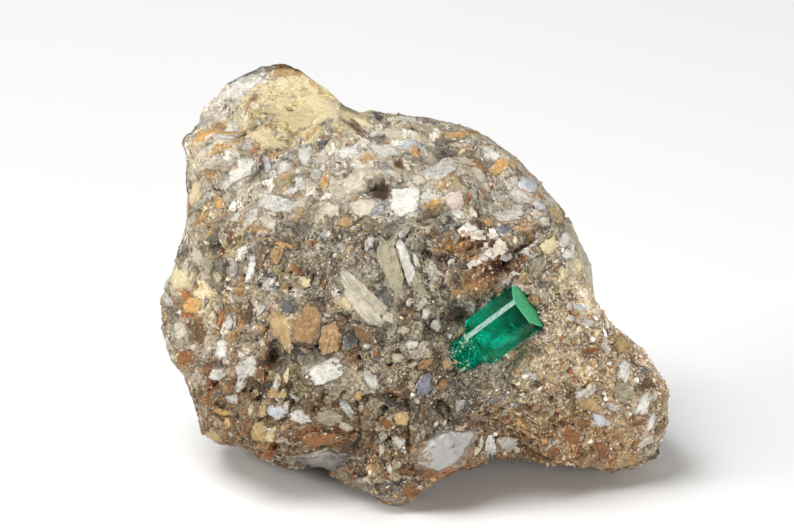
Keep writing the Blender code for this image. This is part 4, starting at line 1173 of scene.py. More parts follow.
def packed(values):
    """Values on the rings of closed bodies, (body, ring, turn, value), as rows: rings, then two poles."""
    inner = values[:, 1:-1].reshape(len(values), -1, values.shape[-1])
    poles = values[:, (0, -1), 0]
    return np.concatenate((inner, poles), axis=1).reshape(-1, values.shape[-1])


def ring_faces(count, rings, turns):
    """Outward triangles of many closed bodies whose rings run from the pole at the top to the one below.

    The rings turn to the left about the way out of the top. The first and the last ring are the poles.
    """
    inner = rings - 2
    order = np.arange(inner * turns).reshape(inner, turns)
    after = np.roll(order, -1, axis=1)
    sides = np.stack((order[:-1], order[1:], after[1:], after[:-1]), axis=-1).reshape(-1, 4)
    top = np.column_stack((np.full(turns, inner * turns), order[0], after[0]))
    bottom = np.column_stack((np.full(turns, inner * turns + 1), after[-1], order[-1]))
    faces = np.concatenate((sides[:, (0, 1, 2)], sides[:, (0, 2, 3)], top, bottom))
    return (faces[None] + (np.arange(count) * (inner * turns + 2))[:, None, None]).reshape(-1, 3)


# ---------------------------------------------------------------- the named fragments


def chip_table():
    """The named fragments as arrays: mineral's number, place on the plan, half sizes in mm and turn."""
    rows = [(number, *row) for number, rows in enumerate(CHIPS.values()) for row in rows]
    table = np.array(rows, float)
    places = plan_places(table[:, 1:3])
    half = table[:, 3:5] * PLAN_STEP
    return table[:, 0].astype(int), places, half, np.radians(table[:, 5])


def chip_sides(count):
    """For each fragment, the directions and reaches of the straight sides of its outline, in half sizes."""
    rng = np.random.default_rng(401)
    facing = (np.arange(CHIP_SIDES) + rng.uniform(-0.36, 0.36, (count, CHIP_SIDES))) / CHIP_SIDES
    facing = (facing + rng.uniform(0.0, 1.0, (count, 1))) * 2.0 * math.pi
    return facing, rng.uniform(0.74, 1.04, (count, CHIP_SIDES))


def chip_reach(right, up, facing, reach):
    """How far out a place lies in a fragment, 0 at the middle and 1 at the outline.

    It is the greatest, over the outline's sides, of (place . side's direction) / side's reach.
    """
    towards = right[..., None] * np.cos(facing) + up[..., None] * np.sin(facing)
    return (towards / reach).max(axis=-1)


def chip_cover(plan, chips):
    """For each place on the plan, the least reach over all the fragments, under 1 on one, and its number."""
    kinds, places, half, turn = chips
    facing, reach = chip_sides(len(kinds))
    cover = np.full(len(plan), 9.0)
    nearest = np.zeros(len(plan), int)
    for k in range(len(kinds)):
        offset = plan - places[k]
        near = np.hypot(offset[:, 0], offset[:, 1]) < half[k].max() * 1.8 + 0.6
        offset = offset[near]
        along = (offset[:, 0] * math.cos(turn[k]) + offset[:, 1] * math.sin(turn[k])) / half[k, 0]
        across = (offset[:, 1] * math.cos(turn[k]) - offset[:, 0] * math.sin(turn[k])) / half[k, 1]
        out = chip_reach(along, across, facing[k], reach[k])
        closer = out < cover[near]
        nearest[near] = np.where(closer, k, nearest[near])
        cover[near] = np.where(closer, out, cover[near])
    return cover, nearest


def make_chips(chips):
    """All the named fragments: for each, rings of CHIP_TURNS points between two poles.

    place = stone surface at (middle + turned (share * outline)) + way out * (crown + facets - depth).
    """
    kinds, places, half, turn = chips
    count = len(kinds)
    facing, reach = chip_sides(count)
    rng = np.random.default_rng(402)
    angle = np.arange(CHIP_TURNS) * 2.0 * math.pi / CHIP_TURNS
    unit = np.cos(angle)[None, :], np.sin(angle)[None, :]
    edge = 1.0 / chip_reach(*unit, facing[:, None, :], reach[:, None, :])
    edge = edge * (1.0 + CHIP_WAVER * rng.normal(size=edge.shape))
    share, depth = np.array(CHIP_RINGS).T
    out = share[None, :, None] * edge[:, None, :]
    along = out * np.cos(angle) * half[:, 0, None, None]
    across = out * np.sin(angle) * half[:, 1, None, None]
    cosine, sine = np.cos(turn)[:, None, None], np.sin(turn)[:, None, None]
    right = places[:, 0, None, None] + along * cosine - across * sine
    up = places[:, 1, None, None] + along * sine + across * cosine
    plan = np.column_stack((right.ravel(), up.ravel()))
    surface, way_out = stone_surface(direction_of(plan), CHIP_RELIEF, 0.0)
    ground = ground_colour(surface, plan)[0].reshape(*out.shape, 3)
    lift = CHIP_LIFT[0] + (CHIP_LIFT[1] - CHIP_LIFT[0]) * rng.uniform(0.0, 1.0, count) ** 1.5
    coarse = coarseness(places)
    left = SMOOTH_LEAST + (1.0 - SMOOTH_LEAST) * coarse
    crown = (lift * left)[:, None, None] * (1.0 - 0.5 * out**2)
    slope = rng.normal(0.0, CHIP_SLOPE, (count, 3, 2))
    level = rng.uniform(0.0, 0.12, (count, 3))
    facets = level[:, :, None, None]
    facets = facets + slope[:, :, :1, None] * along[:, None] + slope[:, :, 1:, None] * across[:, None]
    height = crown + facets.min(axis=1) * left[:, None, None] - depth[None, :, None]
    points = surface + way_out * height.reshape(-1, 1)
    points = points.reshape(count, len(share), CHIP_TURNS, 3)
    grain = np.stack((along, across), axis=-1) + rng.uniform(0.0, 400.0, (count, 1, 1, 2))
    tone = np.broadcast_to(rng.normal(0.0, 1.0, (count, 1, 1)), out.shape)
    rim = np.broadcast_to((1.0 - share)[None, :, None], out.shape) * half.min(axis=1)[:, None, None]
    rim = np.where(np.arange(len(share))[None, :, None] > 4, 0.0, rim)
    grainy = np.broadcast_to(coarse[:, None, None], out.shape)
    warm = np.broadcast_to(warmth(places)[:, None, None], out.shape)
    pieces = []
    for number, name in enumerate(CHIPS):
        chosen = kinds == number
        values = np.stack((tone[chosen], rim[chosen], grainy[chosen], warm[chosen]), axis=-1)
        pieces.append(chip_piece(name, points[chosen], grain[chosen], ground[chosen], values))
    return pieces


def chip_piece(name, points, grain, ground, values):
    """One mineral's fragments as one piece, with the way of the grain and the ground's colour there."""
    piece = mesh_piece(name, stand_clear(packed(points)), ring_faces(*points.shape[:3]))
    add_map(piece, packed(grain) * MM)
    add_values(piece, "tint", packed(ground))
    for label, column in zip(("tone", "rim", "coarse", "warmth"), packed(values).T):
        add_values(piece, label, column)
    return piece


# ---------------------------------------------------------------- the skin


def make_skin(chips):
    """The stone's skin over the ball's grid, drawn in a little under each named fragment.

    It gives the skin, the grid's directions and squares, its points and their places on the plan, how each
    point is covered by the fragments and how deep it is sunk.
    """
    direction, squares = ball_grid()
    plan = plan_of(direction)
    cover, nearest = chip_cover(plan, chips)
    under = 1.0 - ramp(cover, *BED_EDGE)
    coarse = coarseness(plan)
    left = SMOOTH_LEAST + (1.0 - SMOOTH_LEAST) * coarse
    relief = (1.0 - SMOOTH_RELIEF * (1.0 - coarse)) * (1.0 - under) + CHIP_RELIEF * under
    points, way_out = stone_surface(direction, relief, left * (1.0 - under))
    points -= way_out * (under * CHIP_BED * left)[:, None]
    void = voids(points) * (1.0 - under) * coarse
    points -= way_out * (void * VOID_DEPTH)[:, None]
    # How far each point lies under the even surface, which sets the painted shade in hollows.
    even, _ = stone_surface(direction, EVEN_RELIEF, 0.0)
    hollow = ((even - points) * way_out).sum(axis=1) * front_share(even)
    points, sunk = pocket(points)
    skin = mesh_piece("breccia", stand_clear(points), squares)
    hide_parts("matrix")
    middle = points[squares].mean(axis=1)
    places = plan[squares].mean(axis=1)
    colour, loose, turn = ground_colour(middle, places)
    own = np.array([linear(FINISHES[name][1]) + linear(FINISHES[name][0]) for name in CHIPS]) / 2.0
    away = cover[squares].mean(axis=1) + waves(middle, 2.0, 0.16, 141)
    stray = STRAY_COLOUR * (1.0 - ramp(away, 1.0, STRAY_REACH))
    colour += stray[:, None] * (own[chips[0][nearest[squares[:, 0]]]] - colour)
    loose = np.maximum(loose, SANDY_LOOSE * ramp(sandiness(places), 0.3, 0.9))
    loose = np.maximum(loose, ramp(-direction[squares, 2].mean(axis=1), -0.1, 0.25))
    lining = ramp(sunk, 0.3, 1.2)
    # Painted shade: hollows, pores and deep pits are darkened, and the broad tones are partly painted light.
    shade = np.ones((len(points), 3)) * (1.0 - HOLLOW_SHADE * ramp(hollow, 0.0, HOLLOW_DEPTH))[:, None]
    shade += void[:, None] * (linear(VOID_SHADE_COLOUR) * 2.0 - shade)
    shade += pit_brown_and_shade(points, plan)[:, None] * (linear(PIT_BROWN_AND_SHADE) * 2.0 - shade)
    values = {
        "tint": colour, "loose": loose, "turn": turn, "shade": shade * broad_tone_and_painted_light(plan), "lining": lining,
        "wall": wall_colour(points), "warmth": warmth(plan), "coarse": left * (1.0 - lining),
    }
    for name, column in values.items():
        add_values(skin, name, column)
    return skin, direction, squares, points, plan, cover, sunk


def wall_colour(points):
    """Colour of the pocket under the crystal: pale under its root end, dark towards its far end."""
    middle, _, _, along = crystal_frame()
    share = ramp((points - middle) @ along + waves(points, 3.0, 0.7, 143), *POCKET_CHANGE)[:, None]
    return linear(POCKET_COLOURS[0]) * (1.0 - share) + linear(POCKET_COLOURS[1]) * share


def broad_tone_and_painted_light(plan):
    """The tone, partly painted light, over the ground at each place on the plan: 1 or the zones' factors,
    blended.
    """
    tone = np.ones((len(plan), 3))
    for near, factors in patches(plan, BROAD_TONES_AND_PAINTED_LIGHT, 1.5):
        tone *= 1.0 + near[:, None] * (np.array(factors) - 1.0)
    return tone


def pit_brown_and_shade(points, plan):
    """How much brown and painted shade each point takes because it lies in a deep pit or crack, with ragged
    edges.
    """
    steps = PLAN_HUB + plan * STEPS_PER_MM
    ragged = waves(points, 1.6, 0.16, 161) + waves(points, 0.8, 0.10, 162)
    dark = np.zeros(len(plan))
    for right, down, half_width, half_height, turn, share in DARK_PLACES:
        cosine, sine = math.cos(math.radians(turn)), math.sin(math.radians(turn))
        aside, up = ((steps - (right, down)) * STEP_SIZE).T
        along = (aside * cosine + up * sine) / half_width
        across = (up * cosine - aside * sine) / half_height
        dark = np.maximum(dark, share * (1.0 - ramp(np.hypot(along, across) + ragged, 0.7, 1.15)))
    return dark


def voids(points):
    """1 in the small open pores between grains, 0 elsewhere: the middles of a few cells of two sizes."""
    open_share = np.zeros(len(points))
    for number, (size, share, width) in enumerate(VOIDS):
        away, numbers, _ = fragments(points, size, 171 + 3 * number)
        stretch = away * (0.6 + 1.2 * numbers) + waves(points, 1.5, 0.12, 151)[:, None]
        round_share = 1.0 - ramp(np.linalg.norm(stretch, axis=1) / size, width * 0.4, width)
        open_share = np.maximum(open_share, (numbers[:, 0] < share) * round_share)
    return open_share


def coarseness(plan):
    """1 where the stone is rough and grainy, down to 0 in the middle of the smooth zones."""
    smooth = np.zeros(len(plan))
    for near, share in patches(plan, SMOOTH_ZONES, 2):
        smooth = np.maximum(smooth, share * near)
    return 1.0 - smooth


def sandiness(plan):
    """How thickly grit and sand lie at each place: a thin spread, and thick in the sandy zones."""
    thick = np.full(len(plan), SAND_SPREAD)
    for near, share in patches(plan, SANDY_ZONES, 1.5):
        thick = np.maximum(thick, share * near)
    return thick * coarseness(plan) ** 2


def lay(plan):
    """The angle of the ground's grain at each place on the plan, in radians: the zones', blended."""
    angle = np.full(len(plan), GENERAL_LAY)
    for near, turn in patches(plan, LAYS, 2):
        angle += near * (turn - angle)
    return np.radians(angle)


def warmth(plan):
    """The share of the ground that is rusty or brown at each place on the plan."""
    weights = zone_weights(plan)
    warm = np.array([name in WARM_MINERALS for name in MINERALS], float)
    return (weights / weights.sum(axis=1, keepdims=True)) @ warm


# ---------------------------------------------------------------- grit and sand


def solid_form(kind):
    """Points and outward triangles of a small round form: an octahedron or an icosahedron."""
    if kind == "octahedron":
        points = np.array([(1, 0, 0), (-1, 0, 0), (0, 1, 0), (0, -1, 0), (0, 0, 1), (0, 0, -1)], float)
        faces = np.array([
            (0, 2, 4), (2, 1, 4), (1, 3, 4), (3, 0, 4), (2, 0, 5), (1, 2, 5), (3, 1, 5), (0, 3, 5),
        ])
        return points, faces
    golden = (1.0 + math.sqrt(5.0)) / 2.0
    signs = [(a, b * golden) for a in (-1.0, 1.0) for b in (-1.0, 1.0)]
    flat = [(0.0, a, b) for a, b in signs]
    points = np.array(flat + [(a, b, 0.0) for a, b in signs] + [(b, 0.0, a) for a, b in signs])
    points = unit(points)
    apart = np.linalg.norm(points[:, None] - points[None], axis=2)
    near = (apart > 0.1) & (apart < 1.2)
    triples = itertools.combinations(range(12), 3)
    faces = np.array([(a, b, c) for a, b, c in triples if near[a, b] and near[b, c] and near[a, c]])
    a, b, c = points[faces[:, 0]], points[faces[:, 1]], points[faces[:, 2]]
    inward = (np.cross(b - a, c - a) * a).sum(axis=1) < 0.0
    faces[inward] = faces[inward][:, ::-1]
    return points, faces


def cut_once(points, faces):
    """Each triangle as four, with the middles of its edges drawn out to the ball."""
    edges = np.sort(np.concatenate((faces[:, (0, 1)], faces[:, (1, 2)], faces[:, (2, 0)])), axis=1)
    edges, place = np.unique(edges, axis=0, return_inverse=True)
    place = place.reshape(-1)
    middles = points[edges].mean(axis=1)
    middles = unit(middles)
    ab, bc, ca = place.reshape(3, -1) + len(points)
    a, b, c = faces.T
    finer = [np.column_stack(rows) for rows in ((a, ab, ca), (ab, b, bc), (ca, bc, c), (ab, bc, ca))]
    return np.concatenate((points, middles)), np.concatenate(finer)


def broken_shapes(form, count, rng):
    """Many broken copies of a round form: each is cut by random planes, then stretched and turned.

    point = direction * min(1, least over the planes of reach / (direction . plane)) * stretch, turned.
    """
    plane = rng.normal(size=(count, GRIT_PLANES, 3))
    plane = unit(plane)
    reach = rng.uniform(0.34, 0.8, (count, 1, GRIT_PLANES))
    towards = np.einsum("vi,cpi->cvp", form, plane)
    limit = np.where(towards > 1e-3, reach / np.maximum(towards, 1e-3), 9.0).min(axis=2)
    shape = form[None] * np.minimum(1.0, limit)[:, :, None]
    return shape * rng.uniform((0.75, 0.5, 0.45), (1.35, 0.95, 0.75), (count, 1, 3))


def seats(squares, points, chance, count, rng):
    """Random places on the skin with their outward normals: (places, normals, number of a corner there)."""
    corner = points[squares]
    normal = np.cross(corner[:, 2] - corner[:, 0], corner[:, 3] - corner[:, 1])
    area = np.linalg.norm(normal, axis=1) / 2.0
    weight = area * chance[squares[:, 0]]
    chosen = rng.choice(len(squares), count, p=weight / weight.sum())
    across, up = rng.uniform(0.0, 1.0, (2, count, 1))
    a, b, c, d = corner[chosen].transpose(1, 0, 2)
    place = (a * (1 - across) + b * across) * (1 - up) + (d * (1 - across) + c * across) * up
    return place, normal[chosen] / (2.0 * area[chosen][:, None]), squares[chosen, 0]


def frames_about(normal, lean, rng):
    """Three axes for each normal: the third leans from it by about lean, the first turns at random."""
    third = normal + lean * rng.normal(size=normal.shape)
    third = unit(third)
    first = np.cross(third, rng.normal(size=normal.shape))
    first = unit(first)
    return np.stack((first, np.cross(third, first), third), axis=1)


def spread_sizes(least, greatest, power, count, rng):
    """Random sizes, more of them small: least * (greatest / least) ^ (random ^ power)."""
    return least * (greatest / least) ** (rng.uniform(0.0, 1.0, count) ** power)


def grain_piece(name, bodies, faces, colour, warm):
    """Bodies of one form, (body, point, place), as a piece: a colour for each body or point, and warmth."""
    count, points = bodies.shape[:2]
    faces = (faces + (np.arange(count) * points)[:, None, None]).reshape(-1, faces.shape[1])
    piece = mesh_piece(name, to_row(bodies.reshape(-1, 3)), faces, smooth=False)
    add_values(piece, "tint", np.repeat(colour, count * points // len(colour), axis=0))
    add_values(piece, "warmth", np.repeat(warm, points))
    return piece


def make_grit(name, form, count, sizes, chance, lean, seed, ground):
    """Broken grains seated in the skin: place = seat + turned shape * size, sunk by GRIT_SINK of the size."""
    squares, points, plan = ground
    rng = np.random.default_rng(seed)
    place, normal, corner = seats(squares, points, chance, count, rng)
    size = spread_sizes(*sizes, 1.6, count, rng)
    shape = broken_shapes(form[0], count, rng) * size[:, None, None]
    axes = frames_about(normal, lean, rng)
    grains = np.einsum("cvi,cij->cvj", shape, axes) + (place - normal * (size * GRIT_SINK)[:, None])[:, None]
    lowest = to_row(grains.reshape(-1, 3))[:, 2].reshape(count, -1).min(axis=1)
    kept = lowest > FLOOR_GAP * MM
    plan = plan[corner[kept]]
    kind = pick(zone_weights(plan), rng.uniform(0.0, 1.0, len(plan)))
    tone = rng.normal(1.0, GRIT_TONE, (len(plan), 1)).clip(0.55, 1.4)
    colour = np.minimum(mineral_colours()[kind] * tone, 0.95)
    return grain_piece(name, grains[kept], form[1], colour, warmth(plan))


def make_druse():
    """Blocky crystals over the vug: boxes with their corners moved a little, each turned and tipped.

    Seats lie evenly over the clusters' ellipses. place = seat + rise * t + turned (corner * size).
    """
    rng = np.random.default_rng(611)
    table = np.array(DRUSE)
    table = np.repeat(table, table[:, 5].astype(int), axis=0)
    count = len(table)
    reach = np.sqrt(rng.uniform(0.0, 1.0, count))
    angle = rng.uniform(0.0, 2.0 * math.pi, count)
    turn = np.radians(table[:, 4])
    aside, up = reach * np.cos(angle) * table[:, 2], reach * np.sin(angle) * table[:, 3]
    right = table[:, 0] + aside * np.cos(turn) - up * np.sin(turn)
    down = table[:, 1] - aside * np.sin(turn) - up * np.cos(turn)
    surface, _ = stone_surface(direction_of(plan_places(np.column_stack((right, down)))), CHIP_RELIEF, 0.0)
    size = spread_sizes(*DRUSE_SIZE, 1.4, count, rng)
    size = size[:, None] * rng.uniform(0.55, 1.0, (count, 3))
    corners = np.array(list(itertools.product((-1.0, 1.0), repeat=3)))
    boxes = corners * size[:, None] * (1.0 + rng.uniform(-0.22, 0.22, (count, 8, 3)))
    heading = turn + rng.normal(0.0, 0.35, count)
    tip = rng.normal(0.0, 0.4, count)
    first = np.column_stack((np.cos(heading), np.sin(heading), np.zeros(count)))
    third = np.column_stack((np.sin(tip) * np.sin(heading), -np.sin(tip) * np.cos(heading), np.cos(tip)))
    axes = np.stack((first, np.cross(third, first), third), axis=1)
    blocks = np.einsum("cvi,cij->cvj", boxes, axes) + surface[:, None]
    blocks[:, :, 2] += (table[:, 6] * rng.uniform(0.2, 1.2, count))[:, None]
    sides = np.array(((0, 1, 3, 2), (4, 6, 7, 5), (0, 4, 5, 1), (2, 3, 7, 6), (0, 2, 6, 4), (1, 5, 7, 3)))
    colours = np.array([linear(colour) for colour in DRUSE_COLOURS])
    kind = rng.choice(len(colours), count, p=DRUSE_SHARES)
    tone = np.repeat(colours[kind], 8, axis=0) * rng.uniform(0.72, 1.08, (count * 8, 1))
    return grain_piece("druse", blocks, sides, tone, np.full(count, 0.3))


def make_flecks(points, way_out):
    """Flecks of calcite on the crystal's root: broken grains laid on points of its surface."""
    rng = np.random.default_rng(612)
    steps = plan_steps(points)
    weight = np.zeros(len(points))
    for right, down, reach in FLECK_SPOTS:
        apart = np.hypot(steps[:, 0] - right, steps[:, 1] - down) / reach
        weight += np.exp(-(apart**2))
    weight *= way_out[:, 2] > 0.15
    chosen = rng.choice(len(points), FLECKS, p=weight / weight.sum())
    form, faces = solid_form("icosahedron")
    size = spread_sizes(*FLECK_SIZE, 1.5, FLECKS, rng)
    shape = broken_shapes(form, FLECKS, rng) * size[:, None, None]
    seat = points[chosen] + rng.normal(0.0, 0.12, (FLECKS, 3))
    grains = np.einsum("cvi,cij->cvj", shape, frames_about(way_out[chosen], 0.3, rng)) + seat[:, None]
    share = rng.uniform(0.0, 1.0, (FLECKS, 1))
    colour = linear(FLECK_COLOURS[0]) * share + linear(FLECK_COLOURS[1]) * (1.0 - share)
    return grain_piece("calcite_flecks", grains, faces, colour, np.zeros(FLECKS))


# ---------------------------------------------------------------- the crystal


def crystal_outline():
    """Points round the crystal, in radii, and the way along its side in radii: SIDE_POINTS to each face.

    The corners are joined by straight sides, so each face stays flat.
    """
    corners = crystal_profile(1.0)
    after = np.roll(corners, -1, axis=0)
    share = np.arange(SIDE_POINTS) / SIDE_POINTS
    points = corners[:, None] * (1.0 - share[:, None]) + after[:, None] * share[:, None]
    points = points.reshape(-1, 2)
    step = np.linalg.norm(np.roll(points, -1, axis=0) - points, axis=1)
    return points, np.concatenate(((0.0,), np.cumsum(step)[:-1]))


def crystal_place(distance, profile, in_share):
    """Show-frame points of the crystal at distances along it, on its profile shrunk by in_share.

    place = middle + radius * (x * across + y * out) + (distance + slant * x) * along, shifted at the root.
    """
    middle, across, out, along = crystal_frame()
    known, share, shift, slant = np.array(CRYSTAL_SECTIONS).T
    radius = CRYSTAL_RADIUS * np.interp(distance, known, share) * in_share
    shift = np.interp(distance, known, shift)
    slant = np.interp(distance, known, slant)
    flat = profile * radius[..., None]
    reach = distance + slant * flat[..., 0]
    places = middle + flat[..., :1] * across + (flat[..., 1:] - shift[..., None] * 0.5) * out
    return places - shift[..., None] * across + reach[..., None] * along


def crystal_rows():
    """Rows along the crystal, from the pole of its end to the pole of its root: distances and shares."""
    known = [section[0] for section in CRYSTAL_SECTIONS]
    sides = np.unique(np.concatenate((np.linspace(known[0], known[-1], CRYSTAL_ROWS), known)))[::-1]
    ends = np.array(END_SHARES)
    distance = np.concatenate((np.full(len(ends), known[-1]), sides, np.full(len(ends), known[0])))
    share = np.concatenate((ends, np.ones(len(sides)), ends[::-1]))
    return distance, share


def chipped(points, distance, share, way_out):
    """Breaks the crystal's root and chips its rims: a sum of waves and cells that grows towards the root."""
    root = 1.0 - ramp(distance, -7.4, -4.6)
    rough = waves(points, 2.4, 0.10, 301) + waves(points, 1.1, 0.07, 302)
    away, numbers, _ = fragments(points, 1.3, 311)
    steps = 0.34 * (numbers[:, 0] - 0.5) + (away * (numbers - 0.5)).sum(axis=1) * 0.5
    rim = np.exp(-((distance - 4.9) / 0.16) ** 2) * ramp(share, 0.93, 1.0)
    chips = waves(points, 0.9, 0.05, 303) - 0.03
    end = ramp((1.0 - share) * (distance > 4.9), 0.0, 0.2) * waves(points, 1.6, 0.012, 304)
    relief = root * (rough + steps - 0.08) + rim * chips + end
    return points + way_out * relief[:, None]


def make_crystal():
    """The crystal: rings of its outline on each row, closed by a pole at its end and one at its root."""
    profile, around = crystal_outline()
    distance, share = crystal_rows()
    shape = (len(distance), len(profile))
    distance = np.broadcast_to(distance[:, None], shape)
    share = np.broadcast_to(share[:, None], shape)
    places = crystal_place(distance, np.broadcast_to(profile, (*shape, 2)), share)
    _, across, out, along = crystal_frame()
    sideways = profile[:, :1] * across + profile[:, 1:] * out
    way_out = np.where((share < 1.0)[..., None], np.sign(distance)[..., None] * along, sideways)
    points = chipped(places.reshape(-1, 3), distance.ravel(), share.ravel(), way_out.reshape(-1, 3))
    points = packed(points.reshape(1, *shape, 3))
    way_out = packed(way_out[None])
    faces = ring_faces(1, *shape)
    piece = mesh_piece("emerald_crystal", to_row(points), faces, smooth=False)
    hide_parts("emerald")
    grain = np.stack((np.broadcast_to(around * CRYSTAL_RADIUS, shape), distance), axis=-1)
    add_map(piece, packed(grain[None]) * MM)
    reach = packed(distance[None, ..., None])[:, 0]
    finish = np.zeros(len(faces), np.int32)
    least = reach[faces].min(axis=1)
    finish[least > CRYSTAL_SECTIONS[-2][0] - 1e-6] = 1
    column = packed(np.broadcast_to(np.arange(len(profile)), shape)[None, ..., None])[:, 0][faces]
    # Finish 2, the wide edge: its pale mottle is a painted highlight.
    start = 2 * SHOWN_EDGE * SIDE_POINTS
    edge = ((column >= start) & (column <= start + SIDE_POINTS)).all(axis=1)
    finish[edge & (finish == 0) & (least > PRISM_LENGTH[0])] = 2
    piece.data.polygons.foreach_set("material_index", finish)
    return piece, points, way_out


def make_veils():
    """Veils along fractures in the crystal, some standing in for glints: thin closed lenses, flattened balls
    whose rims waver.

    place = middle + sin(b) * waver(a) * (cos(a) * long + sin(a) * wide) + (cos(b) * thickness + sag) * thin.
    """
    middle, across, out, along = crystal_frame()
    rng = np.random.default_rng(521)
    angle = np.arange(VEIL_TURNS) * 2.0 * math.pi / VEIL_TURNS
    fall = np.linspace(0.0, math.pi, VEIL_RINGS)[:, None]
    bodies = []
    for side, height, length, half_long, half_wide, tilt in VEILS:
        lean = math.radians(tilt)
        long = along * math.cos(lean) + out * math.sin(lean)
        thin = np.cross(long, across)
        turn = rng.uniform(0.0, 2.0 * math.pi, 3)
        waver = 1.0 + 0.22 * np.cos(2.0 * angle + turn[0]) + 0.14 * np.cos(5.0 * angle + turn[1])
        reach = np.sin(fall) * waver
        sag = 0.12 * np.sin(fall) ** 2 * np.cos(2.0 * angle + turn[2])
        rim = np.cos(angle)[:, None] * half_long * long + np.sin(angle)[:, None] * half_wide * across
        body = reach[..., None] * rim + (np.cos(fall) * VEIL_THICKNESS + sag)[..., None] * thin
        bodies.append(body + middle + side * across + height * out + length * along)
    points = np.stack(bodies)
    return mesh_piece("fracture_veils_and_glints", to_row(packed(points)), ring_faces(*points.shape[:3]))


# ---------------------------------------------------------------- finishes


class Value:
    """One output of a shader's node. Each sign that is used on it adds a Math node."""

    def __init__(self, node, output):
        self.node = node
        self.output = output
        self.tree = node.id_data

    def beside(self, output):
        """Another output of the same node."""
        return Value(self.node, output)

    def __add__(self, other):
        return figure("ADD", self, other)

    def __sub__(self, other):
        return figure("SUBTRACT", self, other)

    def __rsub__(self, other):
        return figure("SUBTRACT", other, self)

    def __mul__(self, other):
        return figure("MULTIPLY", self, other)

    def __rtruediv__(self, other):
        return figure("DIVIDE", other, self)


def give(inputs, values):
    """Gives each named input its value, or its link if that is a Value."""
    for name, value in values.items():
        if isinstance(value, Value):
            value.tree.links.new(value.node.outputs[value.output], inputs[name])
        else:
            inputs[name].default_value = value


def put(tree, kind, inputs, output, **settings):
    """Adds a node with its settings and inputs, and gives one of its outputs."""
    node = tree.nodes.new("ShaderNode" + kind)
    for name, value in settings.items():
        setattr(node, name, value)
    give(node.inputs, inputs)
    return Value(node, output)


def figure(operation, first, second=0.0, clamp=False):
    """What a Math node makes of one or two values."""
    tree = first.tree if isinstance(first, Value) else second.tree
    return put(tree, "Math", {0: first, 1: second}, 0, operation=operation, use_clamp=clamp)


def held(value, gain=1.0):
    """A value times gain, held from 0 to 1."""
    return figure("MULTIPLY", value, gain, clamp=True)


def blend(share, first, second, kind="MIX"):
    """The colour between two colours."""
    tree = share.tree if isinstance(share, Value) else first.tree
    return put(tree, "Mix", {"Factor": share, 6: first, 7: second}, 2, data_type="RGBA", blend_type=kind)


def toned(colour, tone):
    """A colour times a tone."""
    grey = put(tone.tree, "CombineColor", {"Red": tone, "Green": tone, "Blue": tone}, 0)
    return blend(1.0, colour, grey, "MULTIPLY")


def noise(place, scale, detail, roughness=0.5, distortion=0.0):
    """Clouds at a place, with so many to the metre."""
    inputs = {"Vector": place, "Scale": scale, "Detail": detail, "Roughness": roughness}
    return put(place.tree, "TexNoise", {**inputs, "Distortion": distortion}, "Fac")


def shaken(place, colour, reach):
    """A place moved by a colour of clouds, up to half of reach either way."""
    shift = put(place.tree, "VectorMath", {0: colour, 1: (0.5, 0.5, 0.5)}, 0, operation="SUBTRACT")
    moved = put(place.tree, "VectorMath", {0: shift, "Scale": reach}, 0, operation="SCALE")
    return put(place.tree, "VectorMath", {0: place, 1: moved}, 0, operation="ADD")


def drawn_out(place, share, axis=0):
    """A place pressed to a share of itself along one axis, so that clouds there are drawn out along it."""
    scale = [1.0, 1.0, 1.0]
    scale[axis] = share
    return put(place.tree, "Mapping", {"Vector": place, "Scale": scale}, 0)


def screen_colour(colour):
    """A colour in 0 to 255 as the four numbers of a colour socket."""
    return (*linear(colour), 1.0)


def colour_ramp(share, steps, interpolation="LINEAR"):
    """The colour that steps of (start, colour) have at share."""
    ramp_colour = put(share.tree, "ValToRGB", {"Fac": share}, "Color")
    ramp_colour.node.color_ramp.interpolation = interpolation
    stops = ramp_colour.node.color_ramp.elements
    for number, (start, colour) in enumerate(steps):
        stop = stops[number] if number < 2 else stops.new(start)
        stop.position = start
        stop.color = screen_colour(colour)
    return ramp_colour


def new_group(name, inputs, outputs):
    """An empty shader group and its two ends. Each input has a kind or a first number, each output a kind."""
    group = bpy.data.node_groups.new(name, "ShaderNodeTree")
    for label, value in inputs.items():
        kind = value if isinstance(value, str) else "Float"
        socket = group.interface.new_socket(name=label, in_out="INPUT", socket_type="NodeSocket" + kind)
        if kind != value:
            socket.default_value = value
    for label, kind in outputs.items():
        group.interface.new_socket(name=label, in_out="OUTPUT", socket_type="NodeSocket" + kind)
    start = group.nodes.new("NodeGroupInput")
    return group, {label: Value(start, label) for label in inputs}, group.nodes.new("NodeGroupOutput").inputs


def speckle_group():
    """Small grains of single minerals: flat-coloured cells with wavering sides, each at its own height."""
    group, given, result = new_group(
        "mineral speckle",
        {"Vector": "Vector", "Size": 0.4, "Warmth": 0.2, "Share": 0.5},
        {"Colour": "Color", "Mask": "Float", "Height": "Float"},
    )
    scale = 1000.0 / given["Size"]
    waver = noise(given["Vector"], scale, 2.0).beside("Color")
    place = shaken(given["Vector"], waver, 0.9 / scale)
    cells = put(group, "TexVoronoi", {"Vector": place, "Scale": scale}, "Distance")
    kind = put(group, "SeparateColor", {"Color": cells.beside("Color")}, "Red")
    cool, warm = (
        colour_ramp(kind, [(start, MINERALS[mineral]) for start, mineral in steps], "CONSTANT")
        for steps in (COOL_SPECKLE, WARM_SPECKLE)
    )
    level = kind.beside("Green")
    give(result, {
        "Colour": toned(blend(given["Warmth"], cool, warm), kind.beside("Blue") * 0.5 + 0.72),
        "Mask": figure("LESS_THAN", level, given["Share"]),
        "Height": cells * -0.9 + level,
    })
    return group


